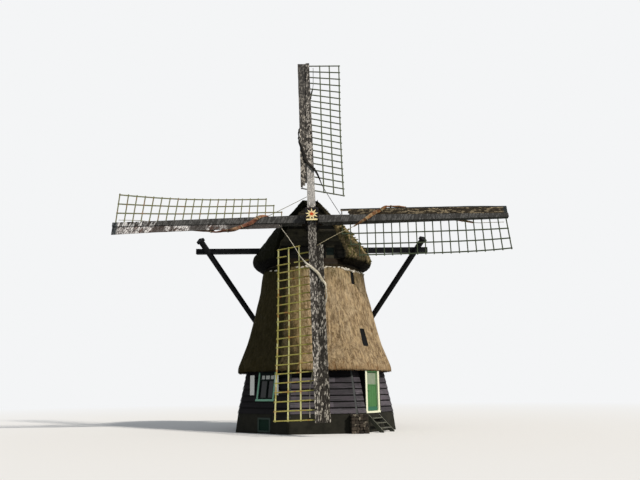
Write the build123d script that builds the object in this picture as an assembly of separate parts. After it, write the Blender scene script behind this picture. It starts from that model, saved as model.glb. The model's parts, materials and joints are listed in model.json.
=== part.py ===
from build123d import *
import os
from math import sin, cos, tan, radians

os.makedirs("parts", exist_ok=True)

# Lengths are in millimetres. +Z is up, the sails face -Y and the origin is the
# middle of the octagonal body at ground level.

# Octagonal body
body_turn = 6.6            # degrees from the sails' direction to the front face's normal
face_step = 45.0           # degrees from one face to the next
half_face = face_step / 2
plinth_top = 660.0
plinth_foot_radius = 3960.0
wall_foot_radius = 3890.0  # corner radius of the boarding at the plinth
wall_top = 2670.0
wall_top_radius = 3460.0
wall_thickness = 150.0
plinth_thickness = 330.0
footing_thickness = 120.0
floor_top = 800.0
corner_board_width = 110.0
corner_board_thickness = 22.0
corner_board_end = 5.0

# Thatched upper body, as corner radii that grow towards the eave
thatch_height = 4930.0
thatch_top = wall_top + thatch_height
eave_radius = 3970.0
eave_thickness = 420.0
thatch_top_thickness = 330.0
thatch_top_radius = 2690.0
# The flare between eave and top, as shares of the height and of the way in from the eave
thatch_flare = [(0.0, 0.0), (0.142, 0.211), (0.25, 0.375), (0.39, 0.523), (0.552, 0.688),
                (0.797, 0.898), (1.0, 1.0)]
thatch_outline = [(wall_top + rise * thatch_height, eave_radius + way_in * (thatch_top_radius - eave_radius))
                  for rise, way_in in thatch_flare]
# Each slit window as sideways place, width, bottom as a share of the thatch's height, and height
slits = [(-210.0, 280.0, 0.219, 800.0), (-95.0, 250.0, 0.8235, 620.0)]
slit_depth = 190.0
slit_sash_thickness = 40.0

# Curb on which the cap turns
curb_outer_radius = 2420.0
curb_width = 300.0
curb_height = 120.0
curb_inner_radius = curb_outer_radius - curb_width
curb_sides = 24
slide_gap = 0.5            # running gap between the curb and the cap's ring

# Doorway, on the face to the right of the front
door_face = 1
door_side = -190.0         # from the face's middle to the doorway's middle
door_sill_top = 880.0
door_frame_width = 1160.0
door_frame_bar = 150.0
door_head_bar = 90.0
door_frame_depth = 140.0
door_frame_proud = 30.0
door_gap = 5.0
door_leaf_thickness = 45.0
door_rail = 85.0
door_glass_height = 430.0
glass_thickness = 6.0
pane_gap = 0.3             # from a window's bars back to its pane
cheek_thickness = 40.0
hinge_pin_radius = 9.0
hinge_pin_gap = 0.5
hinge_knuckle_radius = 18.0
hinge_height = 120.0
hinge_foot = 12.0
strap_length, strap_width, strap_thickness = 300.0, 50.0, 8.0
cheek_set_back = 10.0

# Window with its two bare plaques, and the hatch under it
window_face = 7
back_window_face = 3
window_side = 50.0
window_width = 1040.0
window_bottom = 1370.0
window_height = 1240.0
window_bar = 80.0
window_frame_depth = 110.0
window_proud = 55.0
window_transom_bottom = 2240.0
transom_height = 45.0
window_bar_front = 20.0    # from the frame's front back to the transom's front
window_bar_depth = 60.0
glazing_bar_width = 24.0
mullion_width = 40.0
plaque_sides = ((-980.0, -660.0), (610.0, 830.0))
plaque_bottom, plaque_height = 1610.0, 870.0
plaque_thickness = 20.0
low_hatch_side = 160.0
low_hatch_width = 740.0
low_hatch_bottom = 60.0
low_hatch_recess = 40.0
low_hatch_thickness = 50.0
low_hatch_frame = 70.0
low_hatch_frame_depth = 120.0

# Steps and the brick pier beside them
stringer_top = 760.0
stringer_run = 760.0
stringer_depth = 260.0     # measured upright
stringer_thickness = 45.0
stringer_toe = 60.0
step_width = 900.0
step_tops = (600.0, 400.0, 200.0)
tread_depth = 150.0
tread_thickness = 35.0
pier_width = 760.0
pier_depth = 330.0
pier_top = 790.0
pier_side = 1550.0         # from the front face's middle to the pier's middle

# Cap, lofted through cross sections from bow to stern
cap_eave = thatch_top + 600.0   # height of the widest line
cap_ring_height = 180.0
cap_ring_bottom = thatch_top + curb_height + slide_gap
cap_ring_top = cap_ring_bottom + cap_ring_height
cap_skirt = 460.0          # how far the thatch turns in under the widest line
skirt_share = 0.83
cap_thickness = 250.0
bow, stern = -2250.0, 3200.0
# Each station as place, half width, rise of the ridge over the widest line, and two powers that
# give the section its shape
cap_stations = [(bow, 1750.0, 2630.0, 1.80, 0.60), (-1500.0, 2420.0, 2620.0, 1.65, 0.70),
                (-700.0, 2880.0, 2600.0, 1.50, 0.80), (200.0, 3020.0, 2530.0, 1.50, 0.80),
                (1200.0, 2860.0, 2360.0, 1.50, 0.80), (2100.0, 2330.0, 2000.0, 1.55, 0.75),
                (2800.0, 1500.0, 1450.0, 1.65, 0.70), (stern, 800.0, 950.0, 1.80, 0.60)]
cap_shares = (0.13, 0.3, 0.48, 0.66, 0.83, 0.94)
gable_set_back = 120.0
gable_thickness = 60.0
cap_hatch_side, cap_hatch_drop = 680.0, 120.0   # its bottom lies this far below the widest line
cap_hatch_width, cap_hatch_height = 380.0, 380.0
cap_hatch_play, cap_hatch_recess = 5.0, 15.0
shaft_hole_space = 60.0    # between the windshaft and the hole in the gable
neck_block_width = 700.0
side_beam_space = 1100.0
side_beam_width = 200.0
side_beam_height = 605.0
side_beam_top = cap_ring_top + side_beam_height
weather_beam_front = -1900.0
weather_beam_depth = 380.0
weather_beam_height = 440.0
tail_bearing_back = 1750.0
tail_bearing_depth = 260.0
tail_bearing_height = 420.0

# Tail: cross beams, braces and capstan wheel
cross_beam_size = 250.0
long_beam_place = -700.0
long_beam_half = 5830.0
short_beam_place = 2350.0
short_beam_half = 2600.0
brace_size = 200.0
brace_cross = 5250.0       # where a long brace crosses the long beam
brace_top_reach = 700.0    # how far it runs on above the crossing
brace_head_size, brace_head_length = 290.0, 150.0
tail_foot_back, tail_foot_height = 7400.0, 1000.0
brace_foot_forward, brace_foot_rise = 350.0, 250.0   # from the tail beam's foot
tail_beam_size = 300.0
short_brace_inset = 300.0   # from the short beam's end
short_brace_foot = 0.80    # share of the tail beam where the short braces meet it
wheel_radius = 800.0
wheel_rim = 70.0
wheel_hub_radius, wheel_hub_proud = 110.0, 30.0
wheel_thickness = 90.0
wheel_spokes = 8
wheel_spoke_size = 45.0
wheel_place = (60.0, 95.0) # forward of the tail beam's foot and above it
wheel_offset = 560.0       # from the tail beam's side to the wheel's plane
axle_radius = 55.0

# Windshaft, poll end and sails
shaft_tilt = 12.5
hub_front = 3200.0         # from the body's axis forward to the outer stock's centre
hub_rise = 1205.0          # of the same centre over the side beams
hub_height = side_beam_top + hub_rise
sail_turn = 1.1            # degrees, anticlockwise seen from the front
shaft_radius = 270.0
neck_radius = 200.0
poll_size = 620.0
poll_front = 300.0
poll_back = 800.0
stock_offset = 420.0       # the inner stock's centre lies this far behind the outer one
stock_hub_width, stock_tip_width = 390.0, 200.0
stock_hub_depth, stock_tip_depth = 360.0, 200.0
star_points = 9
star_radius = 310.0
star_inner_radius = 130.0
star_thickness = 20.0

bar_count = 21
first_bar, last_bar = 1440.0, 9280.0
tip_overhang = 120.0       # of stock and board past the last bar
stock_length = last_bar + tip_overhang
bar_size = 45.0
lath_sides = (667.0, 1183.0, 1700.0)
bar_end = 65.0             # from the outer lath's middle
bar_reach = lath_sides[-1] + bar_end
lath_width = 60.0
lath_thickness = 28.0
lath_overhang = 40.0
root_twist, tip_twist = 20.5, 1.0
twist_power = 3.2          # the twist leaves the sail slowly at first and fast at the tip
twist_bars = (0, 5, 9, 12, 14, 16, 18, 20)   # the laths and the wind board turn at these bars
board_reach = 530.0
batten_set_back = 30.0
batten_reach = board_reach - batten_set_back
board_overhang = 40.0      # of the board towards the hub past the first bar
board_thickness = 28.0
board_seat = 8.0           # how deep the battens are let into the board
batten_step = 4            # every fourth bar runs on behind the board

rope_radius = 14.0
rope_drop = 60.0           # from the middle of the next sail's stock
journal_end = 60.0         # a journal runs this far past its bearing at each end
cloth_gap = 0.6            # from the furled cloth to what it lies on
cloth_edge_gap = 52.0      # from the wind board's edge to the middle of the cloth that goes round it

big = 20000.0


def turned_to_face(number, shape):
    """Shapes for a face are drawn as if on a wall that faces -Y, then turned round to it."""
    return Rot(0, 0, body_turn + face_step * number) * shape


def apothem(radius):
    return radius * cos(radians(half_face))


def wall_radius(z):
    share = (z - plinth_top) / (wall_top - plinth_top)
    return wall_foot_radius + share * (wall_top_radius - wall_foot_radius)


def wall_front(z):
    """How far the boarding's outside lies from the axis at a height, measured square to a face."""
    return apothem(wall_radius(z))


def flat(points):
    return Face(Wire.make_polygon([Vector(*point) for point in points], close=True))


def lies_flat(a, b, c, d):
    a, b, c, d = (Vector(*point) for point in (a, b, c, d))
    normal = (b - a).cross(c - a)
    return abs((d - a).dot(normal)) < 0.00001 * normal.length


def faceted(rings):
    """A closed solid of flat faces through rings that have the same number of points."""
    faces = [flat(rings[0]), flat(rings[-1])]
    for low, high in zip(rings, rings[1:]):
        for n in range(len(low)):
            a, b = low[n - 1], low[n]
            c, d = high[n], high[n - 1]
            if lies_flat(a, b, c, d):
                faces.append(flat([a, b, c, d]))
            else:
                faces += [flat([a, b, c]), flat([a, c, d])]
    return Solid(Shell(faces))


def corner(radius, z, number):
    angle = radians(body_turn + half_face + face_step * number)
    return (radius * sin(angle), -radius * cos(angle), z)


def face_block(levels, number):
    """One face's share of an octagonal ring, from (height, inner radius, outer radius) levels."""
    rings = []
    for z, inner, outer in levels:
        rings.append([corner(inner, z, number - 1), corner(outer, z, number - 1),
                      corner(outer, z, number), corner(inner, z, number)])
    return faceted(rings)


def octagon_ring(levels):
    outer = faceted([[corner(out, z, n) for n in range(8)] for z, inner, out in levels])
    inner = faceted([[corner(inner, z, n) for n in range(8)] for z, inner, out in levels])
    return outer - inner


def box(x0, x1, y0, y1, z0, z1):
    return Pos((x0 + x1) / 2, (y0 + y1) / 2, (z0 + z1) / 2) * Box(x1 - x0, y1 - y0, z1 - z0)


def beam(start, end, width, height, across=(1, 0, 0)):
    """A straight squared timber from start to end, its width lying along the direction across."""
    start, end = Vector(*start), Vector(*end)
    plane = Plane(origin=start, x_dir=Vector(*across), z_dir=end - start)
    return extrude(plane * Rectangle(width, height), (end - start).length)


def keep(name, shape):
    export_step(shape, "parts/" + name + ".step")


def keep_all(name, shapes):
    export_step(Compound(children=list(shapes)), "parts/" + name + ".step")


# Body

plinth_levels = [(0.0, plinth_foot_radius - plinth_thickness, plinth_foot_radius),
                 (plinth_top, wall_foot_radius - plinth_thickness, wall_foot_radius)]
wall_levels = [(plinth_top, wall_foot_radius - wall_thickness, wall_foot_radius),
               (wall_top, wall_top_radius - wall_thickness, wall_top_radius)]


def thatch_levels():
    levels = []
    for (z, radius), (rise, way_in) in zip(thatch_outline, thatch_flare):
        inner = eave_radius - eave_thickness
        inner = inner + rise * (thatch_top_radius - thatch_top_thickness - inner)
        levels.append((z, inner, radius))
    return levels


def thatch_front(z):
    for (z0, r0), (z1, r1) in zip(thatch_outline, thatch_outline[1:]):
        if z0 <= z <= z1:
            return apothem(r0 + (z - z0) / (z1 - z0) * (r1 - r0))


door_front = wall_front(door_sill_top) + door_frame_proud
door_frame_top = wall_top - 20.0
window_front = wall_front(window_bottom) + window_proud
window_top = window_bottom + window_height
low_hatch_height = plinth_top - low_hatch_bottom


def plinth_front(z):
    """How far the plinth's outside lies from the axis, and the boarding's above it."""
    if z > plinth_top:
        return wall_front(z)
    return apothem(plinth_foot_radius + z / plinth_top * (wall_foot_radius - plinth_foot_radius))


def standing(outline, x0, x1):
    """A piece that stands against a face: its outline as (outward, height) points, from x0 to x1."""
    return faceted([[(x, -out, z) for out, z in outline] for x in (x0, x1)])


def doorway():
    half = door_frame_width / 2 + cheek_thickness
    return box(door_side - half, door_side + half, -big / 4, 0, door_sill_top - door_head_bar, wall_top + 1)


def window_hole():
    half = window_width / 2
    return box(window_side - half, window_side + half, -big / 4, 0, window_bottom, window_top)


def low_hatch_hole():
    half = low_hatch_width / 2
    return box(low_hatch_side - half, low_hatch_side + half, -big / 4, 0, low_hatch_bottom, plinth_top + 1)


def make_plinth():
    keep("plinth", octagon_ring(plinth_levels) - turned_to_face(window_face, low_hatch_hole()))
    radius = plinth_foot_radius - plinth_thickness
    batter = (wall_foot_radius - plinth_foot_radius) / plinth_top
    keep("footing", faceted([[corner(radius + batter * z, z, n) for n in range(8)]
                             for z in (0, footing_thickness)]))


def make_floor():
    radius = wall_radius(floor_top) - wall_thickness - 5
    keep("ground_floor", faceted([[corner(radius, z, n) for n in range(8)]
                                for z in (plinth_top, floor_top)]))


def make_walls():
    plain = []
    half = door_frame_width / 2 + cheek_thickness
    left, right = door_side - half, door_side + half
    for number in range(8):
        wall = face_block(wall_levels, number)
        if number == door_face:
            wall = wall - turned_to_face(number, doorway())
            for name, x0, x1, top in (("left", -big / 4, left, wall_top), ("right", right, big / 4, wall_top),
                                      ("below", left, right, door_sill_top - door_head_bar)):
                part_of_face = turned_to_face(number, box(x0, x1, -big / 4, 0, 0, top))
                keep("door_wall_" + name, wall & part_of_face)
        elif number == window_face:
            keep("window_wall_front", wall - turned_to_face(number, window_hole()))
        elif number == back_window_face:
            keep("window_wall_back", wall - turned_to_face(number, window_hole()))
        elif number % 2 == 0:
            plain.append(wall)
        else:
            keep("back_door_side_wall", wall)
    keep_all("board_walls", plain)


def corner_board(number):
    """A board folded round a corner of the boarding, touching it all the way up."""
    middle = radians(body_turn + half_face + face_step * number)
    rings = []
    for z in (plinth_top + corner_board_end, wall_top - corner_board_end):
        inner = corner(wall_radius(z), z, number)
        outer = corner(wall_radius(z) + corner_board_thickness, z, number)
        level = []
        for start, turns in ((inner, (-1, 0, 1)), (outer, (1, 0, -1))):
            for turn in turns:
                along = middle + turn * radians(90 + half_face)
                reach = corner_board_width if turn else 0
                level.append((start[0] + reach * sin(along), start[1] - reach * cos(along), z))
        rings.append(level)
    return faceted(rings)


def make_corner_boards():
    keep_all("corner_boards", [corner_board(number) for number in range(8)])


def slit_levels(number):
    side, width, rise, height = slits[number]
    bottom = wall_top + rise * thatch_height
    return bottom, bottom + height


def slit_back(number):
    return -thatch_front(slit_levels(number)[1]) + slit_depth


def slit_box(number, front=-big / 4):
    """The recess of a slit window in the reed."""
    side, width = slits[number][:2]
    bottom, top = slit_levels(number)
    return box(side - width / 2, side + width / 2, front, slit_back(number), bottom, top)


def slit_sash(number):
    return slit_box(number, slit_back(number) - slit_sash_thickness)


def make_thatch():
    sides, sashes = [], []
    for number in range(8):
        side = face_block(thatch_levels(), number)
        if number in (door_face, door_face + 4):
            for slit in range(len(slits)):
                side = side - turned_to_face(number, slit_box(slit))
                sashes.append(turned_to_face(number, slit_sash(slit)))
        sides.append(side)
    keep_all("thatch_front_and_sides", sides[0::2])
    keep_all("thatch_between", sides[1::2])
    keep_all("slit_windows", sashes)


def rim(radius, height):
    """A many-sided disc, as if sawn from straight planks."""
    return Pos(0, 0, -height / 2) * extrude(RegularPolygon(radius, curb_sides), height)


def make_curb():
    ring = rim(curb_outer_radius, curb_height) - rim(curb_inner_radius, curb_height)
    keep("curb", Pos(0, 0, thatch_top + curb_height / 2) * ring)


def frame_boxes(width, bottom, top, front, bar, depth, head=None):
    """A rectangular frame in a wall facing -Y: outer sizes, front face, side bars and head and sill bars."""
    head = head or bar
    whole = box(-width / 2, width / 2, -front, -front + depth, bottom, top)
    inner = width / 2 - bar
    return whole - box(-inner, inner, -front - 1, -front + depth + 1, bottom + head, top - head)


hinge_side = door_frame_width / 2 - door_frame_bar
leaf_back = -door_front + door_frame_depth
hinge_y = leaf_back + hinge_knuckle_radius
pin_x = hinge_side + door_gap          # from the doorway's middle
hinge_x = door_side + pin_x


def at_door(shape):
    return turned_to_face(door_face, Pos(door_side, 0, 0) * shape)


def make_door():
    frame = frame_boxes(door_frame_width, door_sill_top - door_head_bar, door_frame_top, door_front,
                        door_frame_bar, door_frame_depth, door_head_bar)
    keep("door_frame", at_door(frame))

    pins = []
    for z in hinge_levels():
        low = z - hinge_height / 2
        pin = Pos(pin_x, hinge_y, z) * Cylinder(hinge_pin_radius, hinge_height)
        foot = box(pin_x, hinge_side + door_frame_bar / 2, leaf_back, hinge_y + hinge_pin_radius,
                   low - hinge_foot, low)
        end = box(pin_x - hinge_pin_radius, pin_x, hinge_y - hinge_pin_radius, hinge_y + hinge_pin_radius,
                  low - hinge_foot, low)
        pins.append(at_door(pin + foot + end))
    keep_all("hinge_pins", pins)

    half = door_frame_width / 2
    front = -door_front + cheek_set_back
    back = -wall_front(wall_top) + wall_thickness
    cheeks = [box(-half - cheek_thickness, -half, front, back, floor_top, wall_top),
              box(half, half + cheek_thickness, front, back, floor_top, wall_top),
              box(-half, half, front, back, door_frame_top, wall_top)]
    keep_all("door_cheeks", [at_door(cheek) for cheek in cheeks])

    half = hinge_side - door_gap
    leaf_bottom, leaf_top = door_sill_top + door_gap, door_frame_top - door_head_bar - door_gap
    leaf = box(-half, half, leaf_back - door_leaf_thickness, leaf_back, leaf_bottom, leaf_top)
    light_top = leaf_top - door_rail
    light = (-half + door_rail, half - door_rail, light_top - door_glass_height, light_top)
    leaf = leaf - box(light[0], light[1], -big / 4, 0, light[2], light[3])
    for z in hinge_levels():
        knuckle = Cylinder(hinge_knuckle_radius, hinge_height - 4)
        knuckle = knuckle - Cylinder(hinge_pin_radius + hinge_pin_gap, hinge_height)
        strap = box(pin_x - strap_length, pin_x - hinge_pin_radius - hinge_pin_gap - 2,
                    leaf_back, leaf_back + strap_thickness, z - strap_width / 2, z + strap_width / 2)
        leaf = leaf + Pos(pin_x, hinge_y, z) * knuckle + strap
    keep("door_leaf", at_door(leaf))
    middle = leaf_back - door_leaf_thickness / 2
    keep("door_glass", at_door(box(light[0], light[1], middle - glass_thickness / 2,
                                   middle + glass_thickness / 2, light[2], light[3])))


def hinge_levels():
    return (door_sill_top + 250, door_frame_top - door_frame_bar - 250)


def make_windows():
    inner = window_width / 2 - window_bar
    transom_top = window_transom_bottom + transom_height
    front = -window_front + window_bar_front
    back = front + window_bar_depth
    frame = frame_boxes(window_width, window_bottom, window_top, window_front, window_bar, window_frame_depth)
    frame = frame + box(-inner, inner, front, back, window_transom_bottom, transom_top)
    frame = frame + box(-mullion_width / 2, mullion_width / 2, front, back,
                        window_bottom + window_bar, window_transom_bottom)
    for x in (-inner / 3, inner / 3):
        frame = frame + box(x - glazing_bar_width / 2, x + glazing_bar_width / 2, front, back,
                            transom_top, window_top - window_bar)
    pane = box(-inner, inner, back + pane_gap, back + pane_gap + glass_thickness,
               window_bottom + window_bar, window_top - window_bar)
    faces = (window_face, back_window_face)
    keep_all("window_frames", [turned_to_face(n, Pos(window_side, 0, 0) * frame) for n in faces])
    keep_all("window_glass", [turned_to_face(n, Pos(window_side, 0, 0) * pane) for n in faces])


def battered_plate(x0, x1, z0, z1, thickness):
    """A plate lying on the outside of a battered face."""
    rings = []
    for z in (z0, z1):
        y = -wall_front(z)
        rings.append([(x0, y, z), (x1, y, z), (x1, y - thickness, z), (x0, y - thickness, z)])
    return faceted(rings)


def make_plaques():
    top = plaque_bottom + plaque_height
    plates = [battered_plate(x0, x1, plaque_bottom, top, plaque_thickness) for x0, x1 in plaque_sides]
    keep_all("plaques", [turned_to_face(window_face, plate) for plate in plates])


def make_low_hatch():
    front = plinth_front(0)
    frame = frame_boxes(low_hatch_width, low_hatch_bottom, plinth_top, front,
                        low_hatch_frame, low_hatch_frame_depth)
    inner = low_hatch_width / 2 - low_hatch_frame
    panel = box(-inner, inner, -front + low_hatch_recess, -front + low_hatch_recess + low_hatch_thickness,
                low_hatch_bottom + low_hatch_frame, plinth_top - low_hatch_frame)
    keep("low_hatch_frame", turned_to_face(window_face, Pos(low_hatch_side, 0, 0) * frame))
    keep("low_hatch_panel", turned_to_face(window_face, Pos(low_hatch_side, 0, 0) * panel))


def make_steps():
    front = plinth_front(0)
    out = front + stringer_run - stringer_toe
    low = stringer_top - stringer_depth
    side_view = [(plinth_front(z), z) for z in (low, plinth_top, stringer_top)]
    side_view += [(out, stringer_toe), (out, 0), (front + low, 0)]
    half = step_width / 2
    inner = half - stringer_thickness
    stringers = [standing(side_view, -half, -inner), standing(side_view, inner, half)]
    keep_all("step_stringers", [at_door(stringer) for stringer in stringers])
    treads = []
    for top in step_tops:
        edge = -front - stringer_run + top
        treads.append(at_door(box(-inner, inner, edge, edge + tread_depth, top - tread_thickness, top)))
    keep_all("step_treads", treads)
    side_view = [(plinth_front(z), z) for z in (0, plinth_top, pier_top)]
    side_view += [(front + pier_depth, pier_top), (front + pier_depth, 0)]
    half = pier_width / 2
    pier = turned_to_face(0, standing(side_view, pier_side - half, pier_side + half))
    keep("brick_pier", pier - corner_board(0))


# Cap

def between(before, start, end, after, share):
    """A smooth value between start and end, led by the values before and after them."""
    return start + 0.5 * share * (end - before + share * (
        2 * before - 5 * start + 4 * end - after + share * (3 * (start - end) + after - before)))


def cap_section(station, place, inset):
    """The cap's outline at one station, from the turned-in skirt over the ridge and down again."""
    half_width, rise, power, root = station[1:]
    deeper, lower = (400, 100) if inset else (0, 0)
    width = half_width - inset
    rise = rise - inset * 1.2
    points = [(skirt_share * half_width - inset * 0.8, cap_eave - cap_skirt - deeper),
              (width, cap_eave - lower)]
    for share in cap_shares:
        points.append((width * (1 - share ** power) ** root, cap_eave + rise * share))
    right = [(x, place, z) for x, z in points]
    left = [(-x, place, z) for x, z in reversed(points)]
    return right + [(0, place, cap_eave + rise)] + left


def cap_body(inset, front, last):
    """The cap's outside, or its hollow when inset is given, from a front place to a last station."""
    rings = []
    for n in range(last - 1):
        four = [cap_stations[min(max(n + k, 0), len(cap_stations) - 1)] for k in (-1, 0, 1, 2)]
        for share in (0, 0.5):
            station = [between(*values, share) for values in zip(*four)]
            rings.append(cap_section(station, station[0] if rings else front, inset))
    station = cap_stations[last - 1]
    rings.append(cap_section(station, station[0], inset))
    return faceted(rings)


def shaft_place():
    """A frame on the windshaft: Z out of the front end, Y up the sail that stands upright."""
    tilt = radians(shaft_tilt)
    return Plane(origin=(0, -hub_front, hub_height), x_dir=(1, 0, 0), z_dir=(0, -cos(tilt), sin(tilt)))


def on_shaft(shape):
    return shaft_place() * shape


def shaft_height(place):
    return hub_height - (place + hub_front) * tan(radians(shaft_tilt))


tail_foot = Vector(0, tail_foot_back, tail_foot_height)
beam_centre = side_beam_top + cross_beam_size / 2


def long_beam():
    return box(-long_beam_half, long_beam_half, long_beam_place - cross_beam_size / 2,
               long_beam_place + cross_beam_size / 2, side_beam_top, side_beam_top + cross_beam_size)


def short_beam():
    return box(-short_beam_half, short_beam_half, short_beam_place - cross_beam_size / 2,
               short_beam_place + cross_beam_size / 2, side_beam_top, side_beam_top + cross_beam_size)


def tail_beam():
    start = Vector(0, short_beam_place + cross_beam_size / 2, beam_centre)
    whole = beam(start - (tail_foot - start) * 0.05, tail_foot, tail_beam_size, tail_beam_size)
    return whole - short_beam() - box(-big, big, -big, short_beam_place + cross_beam_size / 2, 0, big)


def make_cap():
    outside = cap_body(0, bow, len(cap_stations))
    inside = cap_body(cap_thickness, bow - 50, len(cap_stations) - 1)
    shell = outside - inside - long_beam() - short_beam() - tail_beam()
    keep("cap_thatch_right", shell & box(0, big, -big, big, 0, big))
    keep("cap_thatch_left", shell & box(-big, 0, -big, big, 0, big))

    gable_front = bow + gable_set_back
    gable_back = gable_front + gable_thickness
    gable = inside & box(-big, big, gable_front, gable_back, cap_ring_top, big)
    gable = gable - on_shaft(Cylinder(shaft_radius + shaft_hole_space, big))
    left, right = cap_hatch_side, cap_hatch_side + cap_hatch_width
    low = cap_eave - cap_hatch_drop
    high = low + cap_hatch_height
    keep("cap_gable", gable - box(left, right, -big, 0, low, high))
    keep("cap_hatch", box(left + cap_hatch_play, right - cap_hatch_play,
                          gable_front + cap_hatch_recess, gable_back, low, high - cap_hatch_play))

    ring = rim(curb_outer_radius, cap_ring_height) - Cylinder(curb_inner_radius, cap_ring_height)
    keep("cap_ring", Pos(0, 0, cap_ring_bottom + cap_ring_height / 2) * ring)
    side_beams = []
    for x in (-side_beam_space, side_beam_space):
        side_beams.append(box(x - side_beam_width / 2, x + side_beam_width / 2, gable_back,
                              short_beam_place + cross_beam_size, cap_ring_top, side_beam_top))
    keep_all("cap_side_beams", side_beams)

    half = side_beam_space + side_beam_width / 2
    weather_beam_back = weather_beam_front + weather_beam_depth
    weather_beam_top = side_beam_top + weather_beam_height
    keep("weather_beam", box(-half, half, weather_beam_front, weather_beam_back,
                             side_beam_top, weather_beam_top))
    middle = (weather_beam_front + weather_beam_back) / 2
    block = box(-neck_block_width / 2, neck_block_width / 2, weather_beam_front, weather_beam_back,
                weather_beam_top, shaft_height(middle) - 20)
    keep("neck_bearing", block - on_shaft(Cylinder(neck_radius + slide_gap, big)))
    half = side_beam_space - side_beam_width / 2
    rear = box(-half, half, tail_bearing_back - tail_bearing_depth, tail_bearing_back,
               side_beam_top - tail_bearing_height, shaft_height(tail_bearing_back) + 20)
    keep("tail_bearing_beam", rear - on_shaft(Cylinder(neck_radius + slide_gap, big)))


def brace_ends():
    cross = Vector(brace_cross, long_beam_place - cross_beam_size / 2 - brace_size / 2, beam_centre)
    foot = Vector(tail_beam_size / 2 + brace_size / 2, tail_foot.Y - brace_foot_forward,
                  tail_foot.Z + brace_foot_rise)
    direction = (foot - cross).normalized()
    return cross - direction * brace_top_reach, foot


def make_tail():
    keep("long_cross_beam", long_beam())
    keep("short_cross_beam", short_beam())
    keep("tail_beam", tail_beam())
    top, foot = brace_ends()
    behind = Vector(0, short_beam_place, beam_centre)
    meet = behind + (tail_foot - behind) * short_brace_foot
    down = (foot - top).normalized()
    end_side = (tail_beam_size + brace_size) / 2
    long_braces, short_braces = [], []
    for side in (-1, 1):
        def mirrored(point):
            return Vector(side * point.X, point.Y, point.Z)
        brace = beam(mirrored(top), mirrored(foot), brace_size, brace_size, (0, 0, 1))
        head = beam(mirrored(top), mirrored(top + down * brace_head_length),
                    brace_head_size, brace_head_size, (0, 0, 1))
        long_braces.append(brace + head - tail_beam() - long_beam())
        start = Vector(short_beam_half - short_brace_inset,
                       short_beam_place + (cross_beam_size + brace_size) / 2, beam_centre)
        end = Vector(end_side, meet.Y, meet.Z)
        brace = beam(mirrored(start), mirrored(end), brace_size, brace_size, (0, 0, 1))
        short_braces.append(brace - tail_beam() - short_beam())
    keep_all("long_braces", long_braces)
    keep_all("short_braces", short_braces)


def make_wheel():
    outer = extrude(RegularPolygon(wheel_radius, 3 * wheel_spokes), wheel_thickness)
    inner = extrude(RegularPolygon(wheel_radius - wheel_rim, 3 * wheel_spokes), wheel_thickness)
    wheel = Pos(0, 0, -wheel_thickness / 2) * (outer - inner)
    hub_length = wheel_thickness + 2 * wheel_hub_proud
    hub = extrude(RegularPolygon(wheel_hub_radius, wheel_spokes), hub_length)
    axle_length = wheel_offset + wheel_thickness
    axle = extrude(RegularPolygon(axle_radius, wheel_spokes), axle_length)
    wheel = wheel + Pos(0, 0, -hub_length / 2) * hub + Pos(0, 0, wheel_thickness - axle_length) * axle
    for spoke in range(wheel_spokes // 2):
        bar = Box(2 * wheel_radius - wheel_rim, wheel_spoke_size, wheel_spoke_size)
        wheel = wheel + Rot(0, 0, 360 / wheel_spokes * spoke) * bar
    side = tail_beam_size / 2 + wheel_offset
    place = Pos(side, tail_foot.Y - wheel_place[0], tail_foot.Z + wheel_place[1])
    keep("capstan_wheel", place * Rot(0, 90, 0) * wheel)


# Windshaft and sails

def stock():
    """A tapering timber through the poll end, drawn along Y with the shaft along Z."""
    rings = []
    for y, width, depth in ((-stock_length, stock_tip_width, stock_tip_depth),
                            (-poll_size, stock_hub_width, stock_hub_depth),
                            (poll_size, stock_hub_width, stock_hub_depth),
                            (stock_length, stock_tip_width, stock_tip_depth)):
        rings.append([(-width / 2, y, -depth / 2), (width / 2, y, -depth / 2),
                      (width / 2, y, depth / 2), (-width / 2, y, depth / 2)])
    return faceted(rings)


def sail_spin(number, shape):
    """Turns what is drawn for the upright sail to its own arm, anticlockwise from the front."""
    return Rot(0, 0, sail_turn + 90 * number) * shape


def twist_at(reach):
    share = min(max((reach - first_bar) / (last_bar - first_bar), 0), 1)
    return tip_twist + (root_twist - tip_twist) * (1 - share ** twist_power)


def on_sail(reach, side, lift=0.0):
    """A point of the twisted sail: side runs towards the trailing edge, which turns back to the body."""
    angle = radians(twist_at(reach))
    return Vector(side * cos(angle) + lift * sin(angle), reach, -side * sin(angle) + lift * cos(angle))


def strip(side0, side1, lift0, lift1, reaches):
    """A board or lath that follows the sail's twist."""
    return faceted([[on_sail(reach, side0, lift0), on_sail(reach, side1, lift0),
                     on_sail(reach, side1, lift1), on_sail(reach, side0, lift1)] for reach in reaches])


def bar_place(number):
    return first_bar + (last_bar - first_bar) / (bar_count - 1) * number


def on_bar(number, x0, x1):
    """A stretch of one sail bar, square in section."""
    half = bar_size / 2
    place = bar_place(number)
    return Pos(0, place, 0) * Rot(0, twist_at(place), 0) * box(x0, x1, -half, half, -half, half)


def lath(side, first):
    """One lath from a first bar to the tip, straight between the bars at which it turns."""
    stops = [first] + [number for number in twist_bars if number > first]
    pieces = []
    for low, high in zip(stops, stops[1:]):
        start, end = bar_place(low), bar_place(high)
        if low == first:
            start = start - lath_overhang
        if high == twist_bars[-1]:
            end = end + lath_overhang
        angle = radians(twist_at((start + end) / 2))
        pieces.append(beam(on_sail(start, side), on_sail(end, side), lath_width, lath_thickness,
                           (cos(angle), 0, -sin(angle))))
    return pieces


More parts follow.
